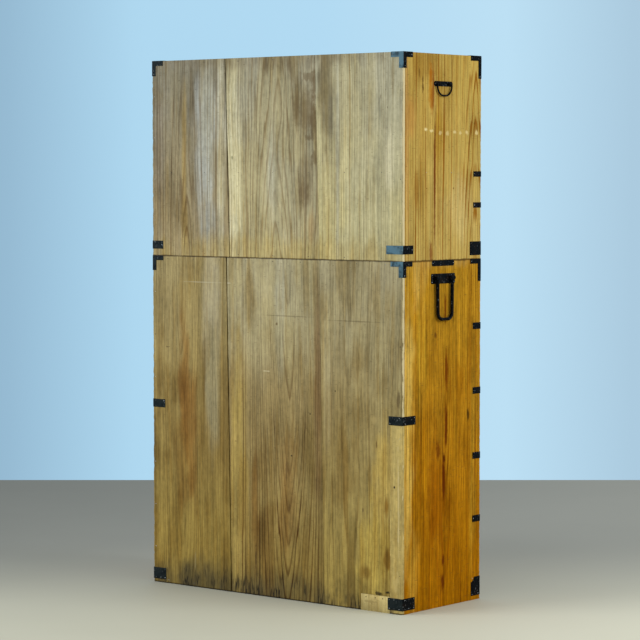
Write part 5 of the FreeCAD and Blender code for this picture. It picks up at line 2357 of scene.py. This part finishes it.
UPPER_SIDE = WoodFinish(
    "upper_side_wood", Grain.SIDE, (184, 156, 78), (190, 164, 90), UPPER_REACH,
    pith=(-0.176, -0.538), taper=0.10, flare=0.12, ring=0.0135, line=1.3, seed=103.0,
    late=(0.58, 0.36, 0.14), sway=0.02, shine=0.03, mottle=0.55, streak=0.75,
    worn=(*SIDE_CORNER, 0.0016, 0.42),
    bands=(
        Mark(0.110, 1.72, 0.080, 0.09, (156, 120, 46), 0.8, 0.6),
        Mark(0.165, 1.55, 0.036, 0.09, (196, 148, 76), 0.6, 0.4),
        Mark(0.105, 1.42, 0.020, 0.40, (172, 138, 62), 0.7),
        Mark(0.02, 1.50, 0.034, 0.22, (168, 128, 34), 0.7),
        Mark(0.140, 1.33, 0.014, 0.08, (158, 116, 44), 0.7),
        Mark(0.188, 1.50, 0.014, ALL, (194, 150, 86), 0.6),
        Mark(-0.090, 1.26, 0.090, 0.16, (206, 184, 118), 0.7, 0.6),
    ),
    marks=(
        JOINT_SHADE,
        Mark(0.064, 1.655, 0.015, 0.085, (176, 122, 34), 0.90, 0.35),
        Mark(0.062, 1.690, 0.009, 0.050, (158, 96, 20), 0.90, 0.35),
        Mark(0.058, 1.610, 0.010, 0.060, (160, 98, 22), 0.85, 0.35),
        Mark(0.050, 1.640, 0.008, 0.100, (126, 64, 10), 0.80, 0.2),
        Mark(0.040, 1.36, 0.0072, 0.30, (112, 56, 14), 0.95, 0.2),
        Mark(0.060, 1.132, 0.010, 0.040, (134, 82, 36), 0.8, 0.5),
        Mark(0.104, 1.660, 0.006, 0.034, (92, 62, 20), 0.8, 0.8),
        Mark(0.122, 1.695, 0.005, 0.020, (104, 74, 28), 0.7, 0.6),
        Mark(0.088, 1.40, 0.0045, 0.26, (140, 98, 34), 0.7, 0.3),
        Mark(0.016, 1.26, 0.0045, 0.14, (140, 98, 36), 0.7, 0.3),
        Mark(0.084, 1.333, 0.005, 0.004, (110, 74, 24), 0.8, 0.3),
        Mark(-0.058, 1.333, 0.005, 0.004, (110, 74, 24), 0.8, 0.3),
        *(Mark(place, 1.517 - 0.01 * dim, 0.0125 - 0.002 * dim, 0.0085 - 0.001 * dim,
               (232, 216, 156), 0.9 - 0.50 * dim, 0.9)
          for place, dim in ((0.088, 0), (0.060, 0.3), (0.011, 1), (-0.022, 1), (-0.064, 0.6),
                             (-0.092, 0.8), (-0.127, 0.7), (-0.182, 0.6))),
    ),
)
LOWER_SIDE = WoodFinish(
    "lower_side_wood", Grain.SIDE, (174, 130, 32), (168, 110, 6), LOWER_REACH,
    pith=(-0.02, -0.530), taper=-0.05, flare=0.10, ring=0.0150, seed=127.0,
    late=(0.58, 0.36, 0.10), shine=0.012, streak=1.3, worn=(*SIDE_CORNER, 0.0024, 0.36),
    bands=(
        Mark(0.182, 0.60, 0.050, ALL, (212, 177, 86), 0.85, 0.6),
        Mark(0.125, 1.06, 0.060, 0.130, (204, 172, 90), 0.60, 0.8),
        Mark(-0.02, 1.12, 0.30, 0.050, (196, 162, 92), 0.50, 0.8),
        Mark(0.11, 0.85, 0.030, 0.28, (204, 162, 48), 0.7),
        Mark(0.10, 0.44, 0.030, 0.24, (188, 130, 14), 0.6, 0.6),
        Mark(0.03, 0.36, 0.070, 0.26, (150, 88, 2), 0.75, 0.7),
        Mark(0.150, 0.12, 0.045, 0.16, (196, 150, 50), 0.8, 0.6),
        Mark(-0.165, 0.45, 0.024, 0.45, (190, 146, 40), 0.7),
        Mark(-0.10, 0.72, 0.050, 0.13, (150, 96, 8), 0.6, 0.7),
    ),
    marks=(
        JOINT_SHADE,
        Mark(0.152, 0.40, 0.0040, 0.44, (112, 68, 12), 0.55, 0.2),
        Mark(-0.016, 0.95, 0.007, 0.07, (110, 54, 8), 0.9),
        Mark(-0.022, 0.758, 0.012, 0.095, (112, 54, 6), 0.9, 0.2),
        Mark(-0.022, 0.575, 0.011, 0.100, (100, 44, 6), 0.95, 0.2),
        Mark(0.022, 0.505, 0.016, 0.040, (112, 58, 6), 0.85, 0.6),
        Mark(-0.012, 0.475, 0.010, 0.024, (84, 38, 8), 0.95, 0.2),
        Mark(-0.012, 0.405, 0.013, 0.090, (98, 42, 4), 0.95, 0.2),
        Mark(-0.008, 0.150, 0.010, 0.028, (102, 44, 6), 0.9, 0.2),
        Mark(-0.006, 0.080, 0.012, 0.036, (104, 46, 6), 0.9, 0.2),
        Mark(0.035, 0.868, 0.009, 0.014, (88, 50, 16), 0.75, 0.5),
        Mark(-0.138, 0.605, 0.009, 0.026, (60, 38, 12), 0.9, 0.3),
    ),
)

SHELF_WOOD = WoodFinish(
    "case_wood", Grain.SHELF, (156, 130, 82), (150, 124, 78), WIDE_REACH,
    pith=(0.02, 1.2), lean=0.02, seed=141.0, streak=0.8,
)
RAIL_WOOD = WoodFinish(
    "rail_wood", Grain.FRONT, (138, 102, 54), (132, 96, 50), WIDE_REACH,
    pith=(0.5, -0.5), ring=0.004, line=0.45, seed=149.0, streak=0.8,
)
FRONT_WOOD = WoodFinish(
    "drawer_front_wood", Grain.FRONT, (148, 108, 54), (142, 102, 48), WIDE_REACH,
    pith=(0.5, -0.16), lean=0.03, seed=157.0,
)
BOX_WOOD = WoodFinish(
    "drawer_box_wood", Grain.BOX, (188, 164, 118), (196, 172, 128), BOX_REACH,
    pith=(0.0, 2.4), ring=0.0095, line=0.55, mottle=0.5, nicks=0.1, seed=163.0, rough=0.72,
)
STILE_WOOD = WoodFinish(
    "door_stile_wood", Grain.BACK, (140, 100, 50), (136, 96, 46), DOOR_REACH,
    pith=(0.0, -0.6), ring=0.0036, line=0.45, seed=171.0, streak=0.7,
)
DOOR_RAIL_WOOD = WoodFinish(
    "door_rail_wood", Grain.FRONT, (142, 102, 50), (138, 98, 48), WIDE_REACH,
    pith=(1.2, -0.5), ring=0.0036, line=0.45, seed=179.0, streak=0.7,
)
PANEL_WOOD = WoodFinish(
    "door_panel_wood", Grain.BACK, (172, 136, 80), (164, 128, 74), DOOR_REACH,
    pith=(0.1, -0.15), lean=-0.03, seed=187.0, streak=0.8,
)


# The chest

RAIL_HEIGHTS = (0.890, 0.681, 0.470, 0.265)


def rail_straps(rows: Sequence[Tuple[int, float, float]]) -> List[Strap]:
    """The small plates that tie the front rails to the sides.

    Args:
        rows: For each rail its number, the height of its middle, and its thickness.

    Returns:
        The plates' sizes.
    """
    arm, edge = 0.042, 0.0004
    return [
        Strap(f"rail_plate_{number}", End.FRONT, z - thick / 2 + edge, thick - 2 * edge, arm, arm)
        for number, z, thick in rows
    ]


def lower_members() -> List[Member]:
    """The boards between the sides of the lower case.

    Returns:
        The boards' sizes.
    """
    ends, between = "lower_top_and_bottom", "lower_rails_and_dust_boards"
    members = [
        Member("top_board", ends, 0.0, 0.403, 1.086, 0.020),
        Member("bottom_board", ends, 0.0, 0.403, 0.0, 0.022),
    ]
    for number, z in enumerate(RAIL_HEIGHTS, start=1):
        members.append(Member(f"rail_{number}", between, 0.0, 0.042, z - 0.011, 0.022, False))
        members.append(Member(f"dust_board_{number}", between, 0.042, 0.403, z + 0.003, 0.008))
    return members


def upper_members() -> List[Member]:
    """The boards between the sides of the upper case.

    Returns:
        The boards' sizes.
    """
    ends, between = "upper_top_and_bottom", "upper_shelf_rails_and_tracks"
    cuts = (0.009, 0.030)
    return [
        Member("top_board", ends, 0.0, 0.403, 1.736, 0.020),
        Member("bottom_board", ends, 0.0, 0.403, 1.106, 0.018),
        Member("shelf_rail", between, 0.0, 0.054, 1.3695, 0.018, False, grooves=cuts),
        Member("shelf_board", between, 0.054, 0.403, 1.3795, 0.008),
        Member("drawer_rail", between, 0.0, 0.042, 1.270, 0.018, False),
        Member("drawer_dust_board", between, 0.042, 0.403, 1.280, 0.008),
        Member("divider", between, 0.0, 0.403, 1.288, 0.0815, False, half=0.009),
        Member("divider_filler", between, 0.054, 0.403, 1.3695, 0.010, half=0.009),
        Member("head_track", between, 0.0, 0.054, 1.720, 0.016, False, half=0.510, grooves=cuts,
               groove_depth=0.010, groove_up=False),
    ]


def sides(wood: WoodFinish) -> Dict[Hand, WoodFinish]:
    """The woods of a case's two sides.

    Args:
        wood: The -X side's. The other side's is cut from another part of the same tree.

    Returns:
        The wood of each side.
    """
    pith, seed = (-wood.pith[0], -wood.pith[1]), wood.seed + 40.0
    far = dataclasses.replace(wood, name=wood.name + "_far", pith=pith, seed=seed, marks=())
    return {Hand.LEFT: wood, Hand.RIGHT: far}


def build_cases() -> None:
    """Build and dress the boards of both cases."""
    Carcase(
        Section.LOWER, 0.0, CHEST.lower_height, wide=Seam(0.2007, 0.1804, 0.0024),
        tight=Seam(-0.193, -0.216, 0.0004),
        back_finishes=(LOWER_BACK_1, LOWER_BACK_2, LOWER_BACK_3), side_finishes=sides(LOWER_SIDE),
        shelf_finish=SHELF_WOOD, member_finish=RAIL_WOOD, between=lower_members(), repair=Repair(),
    ).build()
    Carcase(
        Section.UPPER, CHEST.lower_height, CHEST.full_height, wide=Seam(0.2045, 0.1858, 0.0026),
        tight=Seam(-0.176, -0.195, 0.0004),
        back_finishes=(UPPER_BACK_1, UPPER_BACK_2, UPPER_BACK_3), side_finishes=sides(UPPER_SIDE),
        shelf_finish=SHELF_WOOD, member_finish=RAIL_WOOD, between=upper_members(),
    ).build()


def build_irons(iron: IronFinish) -> None:
    """Build and dress the ironwork and the nails of both cases.

    Args:
        iron: The iron's finish.
    """
    nails = NailFinish()
    caps = {End.REAR: Cap(0.048, 0.050, 0.016), End.FRONT: Cap(0.057, 0.072, 0.0155)}
    lower_straps = [
        Strap("middle_strap", End.REAR, 0.5945, 0.0275, 0.055, 0.065),
        Strap("foot_strap", End.REAR, 0.012, 0.038, 0.057, 0.063),
        Strap("foot_corner", End.FRONT, 0.014, 0.061, 0.020, 0.048, notch=0.016),
        *rail_straps([(number, z, 0.022) for number, z in enumerate(RAIL_HEIGHTS, start=1)]),
    ]
    upper_straps = [
        Strap("foot_strap", End.FRONT, 1.118, 0.044, 0.020, 0.060),
        *rail_straps([(1, 1.3785, 0.018), (2, 1.279, 0.018)]),
    ]
    own = {
        hand: Strap("strap", End.REAR, 1.1285, 0.027, arm, 0.052)
        for hand, arm in ((Hand.LEFT, 0.065), (Hand.RIGHT, 0.048))
    }
    Ironwork(Section.LOWER, CHEST.lower_height, False, lower_straps, iron, nails, caps).build()
    Ironwork(Section.UPPER, CHEST.full_height, True, upper_straps, iron, nails, caps, own).build()


def build_drawers(iron: IronFinish) -> None:
    """Build and dress the eight drawers, each with a front cut from another part of the tree.

    Args:
        iron: The iron's finish.
    """
    bails = BailSet(iron)
    pair = {hand.word: hand.value * 0.270 for hand in Hand}
    drawers = [(f"lower_drawer_{number}", pair) for number in range(1, 6)]
    drawers.append(("wide_drawer", pair))
    drawers += [(f"{hand.word}_small_drawer", {"": hand.value * 0.2595}) for hand in Hand]
    for index, (name, places) in enumerate(drawers):
        wood = dataclasses.replace(
            FRONT_WOOD, name=f"{name}_front_wood", seed=FRONT_WOOD.seed + 9.0 * index
        )
        Drawer(name, wood, BOX_WOOD, bails, places).build()
    bails.clear()


def build_chest() -> None:
    """Build and dress the whole chest."""
    iron = IronFinish()
    build_cases()
    build_irons(iron)
    EndFittings(iron).build()
    build_drawers(iron)
    for hand in Hand:
        SlidingDoor(hand, STILE_WOOD, DOOR_RAIL_WOOD, PANEL_WOOD, iron).build()


def main() -> None:
    """Build the chest and the studio."""
    logging.basicConfig(level=logging.INFO, format="%(message)s")
    build_chest()
    Studio().build()


if __name__ == "__main__":
    main()
